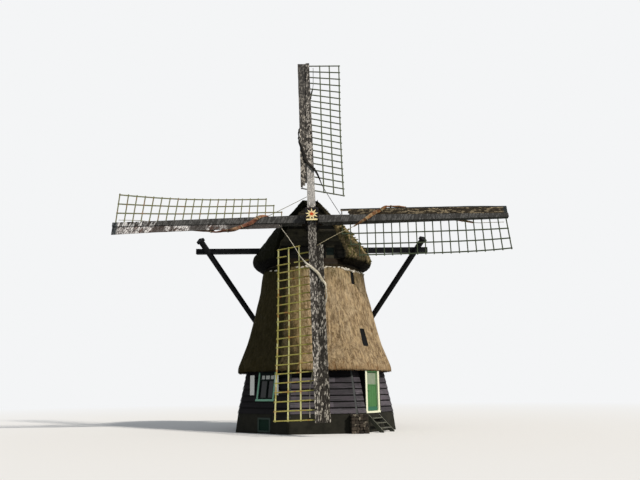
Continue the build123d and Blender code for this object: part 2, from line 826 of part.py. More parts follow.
def lattice(short_bars, breaks):
    """Bars and laths of one sail. The first bars reach only to the laths named in short_bars,
    and each break is a bar's number and the two sides between which it is gone."""
    pieces = []
    for number in range(bar_count):
        reach = bar_reach
        if number < len(short_bars):
            reach = lath_sides[short_bars[number]] + lath_overhang
        pieces.append(on_bar(number, 0, reach))
    for n, side in enumerate(lath_sides):
        pieces += lath(side, short_bars.index(n) if n in short_bars else len(short_bars))
    whole = pieces[0] + pieces[1:]
    for number, x0, x1 in breaks:
        gap = Pos(0, bar_place(number), 0) * Rot(0, twist_at(bar_place(number)), 0)
        whole = whole - gap * box(x0, x1, -bar_size, bar_size, -bar_size, bar_size)
    return whole - stock()


def wind_board():
    """The board before the stock with the battens that carry it at its back."""
    reaches = [first_bar - board_overhang] + [bar_place(number) for number in twist_bars[1:]] + [stock_length]
    battens = [on_bar(number, -batten_reach, 0) for number in range(0, bar_count, batten_step)]
    return strip(-board_reach, 0, board_back, board_front, reaches) + battens - stock()


board_back = bar_size / 2 - board_seat
board_front = board_back + board_thickness


def stock_front(reach):
    """Half the stock's depth at a reach."""
    share = (reach - poll_size) / (stock_length - poll_size)
    return (stock_hub_depth + share * (stock_tip_depth - stock_hub_depth)) / 2


def face_out(reach, turn=0.0):
    """The way out of the twisted sail's front, turned further round the sail's length."""
    angle = radians(twist_at(reach) + turn)
    return Vector(sin(angle), 0, cos(angle))


def roll(stations):
    """A furled cloth: a six-sided roll through (centre, out, half width, half thickness) stations."""
    rings = []
    for n, (centre, out, wide, thick) in enumerate(stations):
        before, after = stations[max(n - 1, 0)][0], stations[min(n + 1, len(stations) - 1)][0]
        across = (after - before).cross(out).normalized()
        rings.append([centre + across * wide, centre + across * (wide / 2) + out * thick,
                      centre - across * (wide / 2) + out * thick, centre - across * wide,
                      centre - across * (wide / 2) - out * thick, centre + across * (wide / 2) - out * thick])
    return faceted(rings)


def cloth(neighbour_shift):
    """The furled cloth of one sail with its ropes: from the next sail's stock over the bars and the
    stock's front, round the wind board's edge and behind the stock to its trailing side."""
    ahead, behind = Vector(0, 0, 1), Vector(0, 0, -1)

    def above(reach, side, top, thick):
        return on_sail(reach, side, top + cloth_gap + thick)

    def before_stock(reach, x, thick):
        return Vector(x, reach, stock_front(reach) + cloth_gap + thick)

    def behind_stock(reach, x, thick):
        return Vector(x, reach, -stock_front(reach) - cloth_gap - thick)

    def far(share):
        return share * stock_length

    edge = (board_back + board_front) / 2
    past, out_of = board_reach + cloth_edge_gap, board_front + cloth_edge_gap
    first, second = lath_sides[:2]
    tie = Vector(far(0.17), stock_hub_width / 2 + rope_radius + cloth_gap, neighbour_shift)
    stations = [(tie, Vector(0.3, 0.95, 0), rope_radius, rope_radius),
                (above(far(0.151), (first + second) / 2, bar_size / 2, rope_radius), face_out(far(0.151)),
                 rope_radius, rope_radius),
                (above(far(0.218), first * 0.84, bar_size / 2, 35), face_out(far(0.218)), 45, 35),
                (before_stock(far(0.287), first * 0.4, 50), ahead, 90, 50),
                (before_stock(far(0.346), -board_reach * 0.3, 60), ahead, 120, 60),
                (above(far(0.399), -board_reach * 0.75, board_front, 65), face_out(far(0.399)), 110, 50),
                (on_sail(far(0.428), -past, out_of), face_out(far(0.428), -45), 100, 42),
                (on_sail(far(0.452), -past - 10, edge), face_out(far(0.452), -90), 95, 42),
                (on_sail(far(0.495), -past - 10, edge - 15), face_out(far(0.495), -100), 95, 42),
                (on_sail(far(0.521), -past + 10, -70), face_out(far(0.521), -135), 95, 40),
                (on_sail(far(0.553), -board_reach * 0.81, -100), face_out(far(0.553), 180), 95, 45),
                (behind_stock(far(0.622), -board_reach * 0.44, 45), behind, 90, 45),
                (behind_stock(far(0.691), -board_reach * 0.11, 45), behind, 85, 45),
                (behind_stock(far(0.755), first * 0.12, 45), behind, 80, 45),
                (behind_stock(far(0.83), first * 0.36, 40), behind, 70, 40),
                (on_sail(far(0.888), first * 0.45, -bar_size / 2 - 30), face_out(far(0.888), 180), 20, 20),
                (on_sail(far(0.9765), first * 0.465, -bar_size / 2 - 20), face_out(far(0.9765), 180),
                 rope_radius, rope_radius)]
    return roll(stations)


def make_windshaft(outer, inner):
    """The windshaft from the poll end, which holds both stocks, to the rear journal."""
    poll = Pos(0, 0, (poll_front - poll_back) / 2) * Box(poll_size, poll_size, poll_front + poll_back)
    shaft = Rot(0, 0, sail_turn) * poll
    places = (weather_beam_front - journal_end, weather_beam_front + weather_beam_depth + journal_end,
              tail_bearing_back - tail_bearing_depth - journal_end, tail_bearing_back + journal_end)
    cuts = [-poll_back] + [-(place + hub_front) / cos(radians(shaft_tilt)) for place in places]
    for n, (high, low) in enumerate(zip(cuts, cuts[1:])):
        if n % 2:
            piece = Cylinder(neck_radius, high - low)
        else:
            piece = Pos(0, 0, (low - high) / 2) * extrude(RegularPolygon(shaft_radius, 8), high - low)
        shaft = shaft + Pos(0, 0, (high + low) / 2) * piece
    keep("windshaft", on_shaft(shaft - outer - inner))


def make_star():
    points = []
    for point in range(2 * star_points):
        radius = star_radius if point % 2 == 0 else star_inner_radius
        angle = radians(90 + 180 / star_points * point)
        points.append((radius * cos(angle), radius * sin(angle)))
    star = extrude(make_face(Polyline(*points, close=True)), star_thickness)
    keep("poll_star", on_shaft(Pos(0, 0, poll_front) * star))


def make_sails():
    outer = sail_spin(0, stock())
    inner = Pos(0, 0, -stock_offset) * sail_spin(1, stock())
    make_windshaft(outer, inner)
    make_star()
    keep("outer_stock", on_shaft(outer))
    keep("inner_stock", on_shaft(inner))

    whole = lattice((), ())
    stepped = lattice((0, 1), ())
    first, second = lath_sides[:2]
    broken = lattice((), ((0, 0, first - lath_width), (1, first + lath_width, second + 2 * lath_width),
                          (2, (first + second) / 2, second - lath_width)))
    board = wind_board()
    sails = (("one", whole), ("two", stepped), ("three", broken), ("four", stepped))
    boards = []
    for number, (name, side) in enumerate(sails):
        back = -stock_offset if number % 2 else 0
        shift = Pos(0, 0, back)
        keep("lattice_" + name, on_shaft(shift * sail_spin(number, side)))
        boards.append(on_shaft(shift * sail_spin(number, board)))
        furled = cloth(stock_offset - rope_drop if number % 2 else -stock_offset + rope_drop)
        keep("sailcloth_" + name, on_shaft(shift * sail_spin(number, furled)))
    keep_all("wind_boards", boards)


make_plinth()
make_floor()
make_walls()
make_corner_boards()
make_thatch()
make_curb()
make_door()
make_windows()
make_plaques()
make_low_hatch()
make_steps()
make_cap()
make_tail()
make_wheel()
make_sails()
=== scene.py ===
import json
import random
from math import cos, pi, radians, sin
import bmesh
import bpy
from mathutils import Matrix, Vector, noise


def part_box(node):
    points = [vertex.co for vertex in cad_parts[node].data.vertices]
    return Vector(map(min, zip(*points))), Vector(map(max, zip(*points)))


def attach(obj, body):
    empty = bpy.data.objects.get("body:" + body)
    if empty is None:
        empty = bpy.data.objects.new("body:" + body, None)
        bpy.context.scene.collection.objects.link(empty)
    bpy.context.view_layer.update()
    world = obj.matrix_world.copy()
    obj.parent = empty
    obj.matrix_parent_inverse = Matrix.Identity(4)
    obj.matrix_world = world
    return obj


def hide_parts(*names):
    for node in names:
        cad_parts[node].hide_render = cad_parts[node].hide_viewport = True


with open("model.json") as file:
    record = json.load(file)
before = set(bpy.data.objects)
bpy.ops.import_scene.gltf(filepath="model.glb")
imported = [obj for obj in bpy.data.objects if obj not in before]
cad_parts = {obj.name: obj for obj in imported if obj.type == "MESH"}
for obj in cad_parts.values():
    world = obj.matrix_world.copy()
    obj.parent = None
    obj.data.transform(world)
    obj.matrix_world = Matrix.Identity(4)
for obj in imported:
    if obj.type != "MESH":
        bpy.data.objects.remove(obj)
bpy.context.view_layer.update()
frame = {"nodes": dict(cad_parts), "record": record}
print("frame loaded")

# Camera, at the photo's viewing angle
view = {"place": (0.044, -29.7, 1.76), "lens": 33.14, "yaw": 0.72, "pitch": 14.38, "roll": -0.64, "reach": 500}


def addObject(name, data):
    made = bpy.data.objects.new(name, data)
    bpy.context.collection.objects.link(made)
    return made


def makeCamera():
    yaw, pitch, roll = (radians(view[k]) for k in ("yaw", "pitch", "roll"))
    camera = addObject("camera", bpy.data.cameras.new("camera"))
    camera.data.lens, camera.data.clip_end = view["lens"], view["reach"]
    camera.matrix_world = (Matrix.Translation(view["place"]) @ Matrix.Rotation(-yaw, 4, "Z")
                           @ Matrix.Rotation(pi / 2 + pitch, 4, "X") @ Matrix.Rotation(roll, 4, "Z"))
    bpy.context.scene.camera = camera


makeCamera()

# Light and floor
light = {"sunPower": 3.6, "sunSoft": 4, "sunTurn": (54, 0, 54), "sunColour": "fff6ea", "skyPower": 0.40,
         "sky": "eef2f7", "backdrop": "f4f5f6", "floor": "eceded", "bounce": "8d8f86", "fade": (12.0, 60.0),
         "floorHalf": 220}


def linear(hexColour):
    values = [int(hexColour[n:n + 2], 16) / 255 for n in (0, 2, 4)]
    return tuple(v / 12.92 if v <= 0.04045 else ((v + 0.055) / 1.055) ** 2.4 for v in values) + (1.0,)


def node(tree, kind, settings=None):
    # a setting is a property of the node or one of its inputs, and its value a number, a hex colour, the output of
    # another node, or that node itself for its first output
    made = tree.nodes.new(kind)
    for key, value in (settings or {}).items():
        source = value.outputs[0] if isinstance(value, bpy.types.Node) else value
        if isinstance(key, str) and hasattr(made, key):
            setattr(made, key, value)
        elif isinstance(source, bpy.types.NodeSocket):
            tree.links.new(source, made.inputs[key])
        else:
            made.inputs[key].default_value = linear(value) if isinstance(value, str) else value
    return made


def glaze(colour, *coats):
    # thin coats over a colour, each with the pattern that it follows, its strength and its tint
    for pattern, strength, tint in coats:
        tree = pattern.id_data
        share = node(tree, "ShaderNodeMath", {"operation": "MULTIPLY", 0: pattern, 1: strength})
        colour = node(tree, "ShaderNodeMix", {"data_type": "RGBA", 0: share, 6: colour, 7: tint}).outputs[2]
    return colour


def softenEdges(bm, width, segments=1):
    bmesh.ops.bevel(bm, geom=bm.edges[:], offset=width, affect="EDGES", segments=segments, profile=0.5, material=-1)


def addPiece(name, bm, body, *looks, slot=None, soften=0, segments=1, smooth=False, replaces=()):
    if soften:
        softenEdges(bm, soften, segments)
    mesh = bpy.data.meshes.new(name)
    for face in bm.faces:
        face.smooth = smooth
    bm.to_mesh(mesh)
    bm.free()
    piece = addObject(name, mesh)
    for look in looks:
        mesh.materials.append(finishes[look])
    if body:
        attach(piece, body)
    if replaces:
        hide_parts(*replaces)
    return piece


def seenStraight(tree):
    # 1 where the camera or a reflection looks, 0 for the light that it throws
    path = node(tree, "ShaderNodeLightPath")
    return node(tree, "ShaderNodeMath", {"operation": "ADD", 0: path.outputs["Is Camera Ray"],
                                         1: path.outputs["Is Glossy Ray"]})


def makeSurroundings():
    scene = bpy.context.scene
    scene.view_settings.view_transform = "Standard"
    world = scene.world = bpy.data.worlds.new("studio")
    world.use_nodes = True
    tree = world.node_tree
    tree.nodes.clear()
    sky = node(tree, "ShaderNodeBackground", {"Color": light["sky"], "Strength": light["skyPower"]})
    white = node(tree, "ShaderNodeBackground", {"Color": light["backdrop"]})
    mixed = node(tree, "ShaderNodeMixShader", {0: seenStraight(tree), 1: sky, 2: white})
    node(tree, "ShaderNodeOutputWorld", {"Surface": mixed})

    lamp = addObject("softSun", bpy.data.lights.new("softSun", "SUN"))
    lamp.data.energy, lamp.data.angle = light["sunPower"], radians(light["sunSoft"])
    lamp.data.color = linear(light["sunColour"])[:3]
    lamp.rotation_euler = [radians(a) for a in light["sunTurn"]]

    bm = bmesh.new()
    bmesh.ops.create_grid(bm, x_segments=1, y_segments=1, size=light["floorHalf"])
    ground = addPiece("floor", bm, None)
    paint = bpy.data.materials.new("matt pale floor paint")
    paint.use_nodes = True
    tree = paint.node_tree
    tree.nodes.clear()
    # it looks pale, but throws back no more light than a yard would
    colour = glaze(light["bounce"], (seenStraight(tree), 1, light["floor"]))
    flat = node(tree, "ShaderNodeBsdfDiffuse", {"Color": colour})
    bright = node(tree, "ShaderNodeEmission", {"Color": light["backdrop"]})
    reach = node(tree, "ShaderNodeVectorMath", {"operation": "LENGTH",
                                                0: node(tree, "ShaderNodeTexCoord").outputs["Object"]})
    fade = node(tree, "ShaderNodeMapRange", {"Value": reach.outputs["Value"], "From Min": light["fade"][0],
                                             "From Max": light["fade"][1]})
    mixed = node(tree, "ShaderNodeMixShader", {0: fade, 1: flat, 2: bright})
    node(tree, "ShaderNodeOutputMaterial", {"Surface": mixed})
    ground.data.materials.append(paint)


makeSurroundings()
print("camera, light and floor made")

# The mill's own lines, in metres and degrees; wall and thatch are heights, each with the octagon's radius there
millTurn = 6.6
wallLine = [(0, 3.96), (0.66, 3.89), (2.67, 3.46)]
thatchLine = [(2.67, 3.97), (3.37, 3.70), (3.902, 3.49), (4.593, 3.30), (5.391, 3.09), (6.599, 2.821), (7.6, 2.69)]
sail = {"turn": 1.1, "tilt": 12.5, "hub": (0, -3.2, 9.7105), "backSet": 0.42, "root": 1.44, "tip": 9.28, "bars": 21,
        "rootTwist": 20.5, "tipTwist": 1.0, "twistPower": 3.2, "length": 9.4, "laths": (0.667, 1.183, 1.7)}
# each cap station is its place, half width, rise over the eave, and the two powers of its curve
capStations = [(-2.25, 1.78, 2.93, 1.75, 0.90), (-1.5, 2.42, 2.62, 1.65, 0.70), (-0.7, 2.88, 2.60, 1.50, 0.80),
               (0.2, 3.02, 2.53, 1.5, 0.8), (1.2, 2.86, 2.36, 1.5, 0.8), (2.1, 2.33, 2.0, 1.55, 0.75),
               (2.8, 1.5, 1.45, 1.65, 0.70), (3.2, 0.8, 0.95, 1.80, 0.60)]
cap = {"eave": 8.2, "foot": 7.68, "footShare": 0.81, "thatch": 0.25, "crest": 10.83, "lean": -0.028}
eighth = radians(22.5)


def alongLine(line, z):
    for (z0, r0), (z1, r1) in zip(line, line[1:]):
        if z <= z1 or (z1, r1) == line[-1]:
            return r0 + (r1 - r0) * (z - z0) / (z1 - z0)


def wallFront(z):
    return alongLine(wallLine, z) * cos(eighth)


def facePlace(number):
    # drawn with x sideways, -y out of the wall and z up
    return Matrix.Rotation(radians(millTurn + 45 * number), 4, "Z")


def roundTower(angle, radius, z):
    turn = angle + radians(millTurn)
    return Vector((radius * sin(turn), -radius * cos(turn), z))


def sailPlace(number):
    tilt = radians(sail["tilt"])
    shaft = Matrix(((1, 0, 0), (0, sin(tilt), -cos(tilt)), (0, cos(tilt), sin(tilt)))).to_4x4()
    back = Matrix.Translation((0, 0, -sail["backSet"] if number % 2 else 0))
    return Matrix.Translation(sail["hub"]) @ shaft @ back @ Matrix.Rotation(radians(sail["turn"] + 90 * number), 4, "Z")


def twistAt(reach):
    share = min(max((reach - sail["root"]) / (sail["tip"] - sail["root"]), 0), 1)
    return sail["tipTwist"] + (sail["rootTwist"] - sail["tipTwist"]) * (1 - share ** sail["twistPower"])


def onSail(reach, side, lift=0.0):
    a = radians(twistAt(reach))
    return Vector((side * cos(a) + lift * sin(a), reach, -side * sin(a) + lift * cos(a)))


def faceOut(reach, turn=0.0):
    a = radians(twistAt(reach) + turn)
    return Vector((sin(a), 0, cos(a)))


def between(before, start, end, after, share):
    # a smooth value from start to end, led by the values before and after them
    return start + 0.5 * share * (end - before + share * (
        2 * before - 5 * start + 4 * end - after + share * (3 * (start - end) + after - before)))


def smoothly(rows, step):
    # the row at a step that may lie between two of the rows
    last = len(rows) - 1
    n = min(int(step), last - 1)
    four = [rows[min(max(n + k, 0), last)] for k in (-1, 0, 1, 2)]
    return [between(*values, step - n) for values in zip(*four)]


def capEdge(station, z):
    # how far the cap's outside lies from its middle at a height
    width, rise, power, root = station[1:]
    if z < cap["eave"]:
        share = min((cap["eave"] - z) / (cap["eave"] - cap["foot"]), 1)
        return width * (1 - (1 - cap["footShare"]) * share ** 3)
    return width * (1 - min((z - cap["eave"]) / rise, 1) ** power) ** root


def block(bm, first, second, place):
    # a box between two opposite corners
    low, high = (Vector(corner) for corner in zip(*map(sorted, zip(first, second))))
    return bmesh.ops.create_cube(bm, size=1, matrix=place @ Matrix.Translation((low + high) / 2)
                                 @ Matrix.Diagonal((*(high - low), 1)))["verts"]


def addBlocks(name, body, look, slot, soften, places, rows, **more):
    # a piece of blocks: each row is two opposite corners, and all rows stand at every place
    bm = bmesh.new()
    for place in places:
        for first, second in rows:
            block(bm, first, second, place)
    addPiece(name, bm, body, look, slot=slot, soften=soften, **more)


def slab(bm, place, sides, low, high, out, thick):
    # a board on a leaning face: sides and out are functions of the height
    verts = bmesh.ops.create_cube(bm, size=1)["verts"]
    for v in verts:
        z = high if v.co.z > 0 else low
        v.co = place @ Vector((sides[v.co.x > 0](z), (0 if v.co.y < 0 else thick) - out(z), z))
    return verts


def fixed(value):
    return lambda z: value


def tonedMesh():
    # a mesh whose faces each carry a tone, so that no two boards or stones look the same; on the boards the tone also
    # carries painted shade
    bm = bmesh.new()
    bm.faces.layers.float.new("tone")
    return bm


def toneFaces(bm, faces, value):
    layer = bm.faces.layers.float["tone"]
    for face in faces:
        face[layer] = value


def facesOf(verts):
    return {face for vert in verts for face in vert.link_faces}


def faceOutward(bm, axis):
    # judged by the face that lies farthest along an axis
    bmesh.ops.recalc_face_normals(bm, faces=bm.faces)
    if max(bm.faces, key=lambda f: f.calc_center_median()[axis]).normal[axis] < 0:
        bmesh.ops.reverse_faces(bm, faces=bm.faces)


def thicken(piece, thickness, offset=-1):
    shell = piece.modifiers.new("thickness", "SOLIDIFY")
    shell.thickness, shell.offset = thickness, offset


def lump(place, scale=1.0, seed=0.0):
    return noise.noise(Vector(place) * scale + Vector((seed, seed * 1.7, -seed)))


# Materials: helpers first, then a function for each kind of surface

def startMaterial(name, roughness, **sockets):
    made = bpy.data.materials.new(name)
    made.use_nodes = True
    shader = made.node_tree.nodes["Principled BSDF"]
    # rough outdoor surfaces throw back little sky
    for socket, value in {"Roughness": roughness, "Specular_IOR_Level": 0.05, **sockets}.items():
        shader.inputs[socket.replace("_", " ")].default_value = value
    return made, node(made.node_tree, "ShaderNodeTexCoord").outputs["Object"]


def speckle(place, scale, detail, rough, low, high):
    # soft spots, or streaks where the scale is three numbers, drawn between two of the noise's values
    tree = place.id_data
    if not isinstance(scale, (int, float)):
        place, scale = node(tree, "ShaderNodeMapping", {"Vector": place, "Scale": scale}), 1.0
    spots = node(tree, "ShaderNodeTexNoise", {"Vector": place, "Scale": scale, "Detail": detail, "Roughness": rough})
    return node(tree, "ShaderNodeMapRange", {"Value": spots, "From Min": low, "From Max": high})


def finishMaterial(made, colour, height, depth, strength):
    tree = made.node_tree
    relief = node(tree, "ShaderNodeBump", {"Strength": strength, "Distance": depth, "Height": height})
    shader = tree.nodes["Principled BSDF"]
    tree.links.new(colour, shader.inputs["Base Color"])
    tree.links.new(relief.outputs[0], shader.inputs["Normal"])
    return made


def zoned(place, colour, wobble, zones):
    # tints what lies past a line: its three weights, where it starts and is full, the colour and the strength,
    # and for a band where it begins to fade and is gone
    tree = place.id_data
    for weights, start, full, tint, strength, *fade in zones:
        along = node(tree, "ShaderNodeVectorMath", {"operation": "DOT_PRODUCT", 0: place, 1: weights}).outputs["Value"]
        shift = (full - start) * 0.3
        wavy = node(tree, "ShaderNodeMath", {"operation": "MULTIPLY_ADD", 0: wobble, 1: shift * 2, 2: along})
        part = node(tree, "ShaderNodeMapRange", {"Value": wavy, "From Min": start + shift, "From Max": full + shift,
                                                 "To Max": strength})
        kept = node(tree, "ShaderNodeMapRange", {"Value": along, "From Min": fade[0], "From Max": fade[1],
                                                 "To Min": 1.0, "To Max": 0.0}) if fade else 1.0
        colour = glaze(colour, (part, kept, tint))
    return colour


def reedThatch(name, lit, dark, pale, moss, mossShare, zones=(), along=(1, 1, 0.08)):
    # reed laid up the slope: straw streaks, grey weathering, and moss where it stays damp
    made, place = startMaterial(name, 0.92)
    # a bundle is 80 to 200 mm wide, and a stalk of 6 mm is drawn at 25 mm so that it shows
    bundles = speckle(place, [10 * v for v in along], 4, 0.6, 0.4, 0.6)
    stalks = speckle(place, [40 * v for v in along], 5, 0.75, 0.36, 0.64)
    courses = speckle(place, (7, 7, 3.5), 6, 0.7, 0.5, 0.62)
    bleached = speckle(place, 1.6, 4, 0.6, 0.45, 0.62)
    patches = speckle(place, 0.9, 8, 0.72, 0.62 - 0.2 * mossShare, 0.74 - 0.2 * mossShare)
    # the courses also darken the reed where it dips, painted shade in the hollows
    colour = glaze(dark, (bundles, 1, lit), (stalks, 0.5, pale), (bleached, 0.35, pale), (courses, 0.55, dark),
                   (patches, 0.6, moss))
    height = node(made.node_tree, "ShaderNodeMath", {"operation": "ADD", 0: bundles, 1: stalks})
    height = node(made.node_tree, "ShaderNodeMath", {"operation": "MULTIPLY_ADD", 0: courses, 1: -1.2, 2: height})
    return finishMaterial(made, zoned(place, colour, courses, zones), height, 0.025, 1.0)


def tarredWood(name, base, deep, tint, grain=(1.2, 1.2, 30), roughness=0.6, tone=0.0):
    # tar brushed over sawn wood: the grain shows through a dull sheen that has faded to grey and purple
    made, place = startMaterial(name, roughness)
    lines = speckle(place, grain, 6, 0.7, 0.3, 0.7)
    colour = glaze(deep, (lines, 1, base), (speckle(place, 2.3, 5, 0.6, 0.38, 0.62), 0.5, tint))
    # the tone darkens a face towards the deep colour, at random and, on the boards, as painted shade
    if tone:
        board = node(made.node_tree, "ShaderNodeAttribute", {"attribute_name": "tone"})
        colour = glaze(colour, (board.outputs["Fac"], tone, deep))
    return finishMaterial(made, colour, lines, 0.006, 0.5)


def peelingTar(name, base, deep, flake, share, cells, zones=(), lean=(0, 0, 0)):
    # old tar and white lead lifting off a spar: flakes 50 to 60 mm wide and 150 to 200 mm long, dark cracks
    # between them, bleached wood where they are gone
    made, place = startMaterial(name, 0.75)
    tree = made.node_tree
    bend = node(tree, "ShaderNodeTexNoise", {"Vector": place, "Scale": 7.0, "Detail": 6.0, "Roughness": 0.7})
    moved = node(tree, "ShaderNodeVectorMath", {"operation": "MULTIPLY_ADD", 0: bend.outputs["Color"],
                                                1: (0.05, 0.05, 0.05), 2: place})
    turned = node(tree, "ShaderNodeMapping", {"Vector": moved, "Rotation": lean})
    spot = node(tree, "ShaderNodeMapping", {"Vector": turned, "Scale": cells})
    chips = node(tree, "ShaderNodeTexVoronoi", {"Vector": spot, "Scale": 1.0})
    parts = node(tree, "ShaderNodeSeparateColor", {0: chips.outputs["Color"]})
    seams = node(tree, "ShaderNodeTexVoronoi", {"feature": "DISTANCE_TO_EDGE", "Vector": spot, "Scale": 1.0})
    crack = node(tree, "ShaderNodeMapRange", {"Value": seams, "From Min": 0.13, "From Max": 0.03})
    gone = node(tree, "ShaderNodeMapRange", {"Value": parts, "From Min": share, "From Max": share - 0.2})
    grain = speckle(place, [30 * v / max(cells) for v in cells], 6, 0.75, 0.34, 0.66)
    clean = node(tree, "ShaderNodeMath", {"operation": "MULTIPLY_ADD", 0: grain, 1: 0.9, 2: 0.1})
    colour = glaze(deep, (grain, 1, base), (parts.outputs["Green"], 0.5, deep), (gone, clean, flake),
                   (crack, 0.85, deep))
    height = node(tree, "ShaderNodeMath", {"operation": "MULTIPLY", 0: grain, 1: 0.3})
    height = node(tree, "ShaderNodeMath", {"operation": "SUBTRACT", 0: height, 1: crack})
    return finishMaterial(made, zoned(place, colour, grain, zones), height, 0.014, 0.8)


def paintedWood(name, colour, worn, share=0.25, roughness=0.5):
    # brushed oil paint on planed wood, with faint brush lines, grey where it has worn through
    made, place = startMaterial(name, roughness)
    brush = speckle(place, (60, 60, 5), 3, 0.5, 0.3, 0.7)
    dirt = speckle(place, 5.0, 8, 0.7, 0.66 - 0.25 * share, 0.74 - 0.2 * share)
    return finishMaterial(made, glaze(colour, (brush, 0.18, worn), (dirt, 0.8, worn)), brush, 0.002, 0.35)


def weatheredLath(name, fresh, old, algae, bare=None):
    # softwood gone grey-green outdoors: raised grain, algae on the damp sides, red-brown where it is bare
    made, place = startMaterial(name, 0.85)
    grain = speckle(place, 14.0, 8, 0.7, 0.3, 0.7)
    colour = glaze(old, (grain, 1, fresh), (speckle(place, 2.2, 6, 0.65, 0.4, 0.6), 0.6, algae))
    if bare:
        colour = glaze(colour, (speckle(place, 3.1, 7, 0.75, 0.54, 0.6), 0.8, bare))
    return finishMaterial(made, colour, grain, 0.004, 0.5)


def oldGlass(name, tone, paintedShine, roughness=0.15):
    # drawn window glass before a dark room: it mirrors the sky a little, and its waves are glazed towards a paler
    # colour as a painted reflection
    made, place = startMaterial(name, roughness, Specular_IOR_Level=0.3)
    waves = speckle(place, 6.0, 2, 0.5, 0.3, 0.7)
    return finishMaterial(made, glaze(tone, (waves, 0.4, paintedShine)), waves, 0.003, 0.2)


def roughStone(name, first, second, pale, dirt=0.4):
    # field stone and broken brick in lime mortar, stained, with pale lichen spots
    made, place = startMaterial(name, 0.9)
    grit = speckle(place, 22.0, 8, 0.7, 0.35, 0.65)
    stone = node(made.node_tree, "ShaderNodeAttribute", {"attribute_name": "tone"})
    colour = glaze(first, (stone.outputs["Fac"], 1, second), (grit, dirt, "1f1d1a"),
                   (speckle(place, 5.0, 6, 0.65, 0.56, 0.62), 0.7, pale))
    return finishMaterial(made, colour, grit, 0.006, 0.6)


def castIron(name):
    # tarred cast iron: nearly black and pitted, with rust where the tar is thin
    made, place = startMaterial(name, 0.6, Metallic=0.3)
    pits = speckle(place, 40.0, 6, 0.7, 0.35, 0.65)
    colour = glaze("17171a", (pits, 1, "2b2a2c"), (speckle(place, 5.0, 6, 0.65, 0.55, 0.68), 0.6, "4a3226"))
    return finishMaterial(made, colour, pits, 0.003, 0.5)


def canvas(name, light, deep, stain):
    # tanned flax canvas: a plain weave, darker in soft patches, bleached and mouldy along the edges
    made, place = startMaterial(name, 0.95, Sheen_Weight=0.2)
    # the weave of 1 mm is too fine to show and is drawn at 12 mm
    weave = speckle(place, 80.0, 2, 0.5, 0.35, 0.65)
    colour = glaze(deep, (speckle(place, 5.0, 6, 0.65, 0.38, 0.6), 1, light),
                   (speckle(place, 2.0, 7, 0.7, 0.5, 0.62), 0.8, stain), (weave, 0.15, deep))
    return finishMaterial(made, colour, weave, 0.002, 0.4)


def rope(name, light, deep):
    # laid hemp rope, its strands 10 mm wide and running round it on the skew
    made, place = startMaterial(name, 0.9)
    lay = node(made.node_tree, "ShaderNodeTexWave", {"bands_direction": "DIAGONAL", "Vector": place, "Scale": 30.0,
                                                     "Distortion": 1.5}).outputs["Fac"]
    colour = glaze(deep, (lay, 1, light), (speckle(place, 60.0, 4, 0.6, 0.3, 0.7), 0.3, deep))
    return finishMaterial(made, colour, lay, 0.004, 0.5)


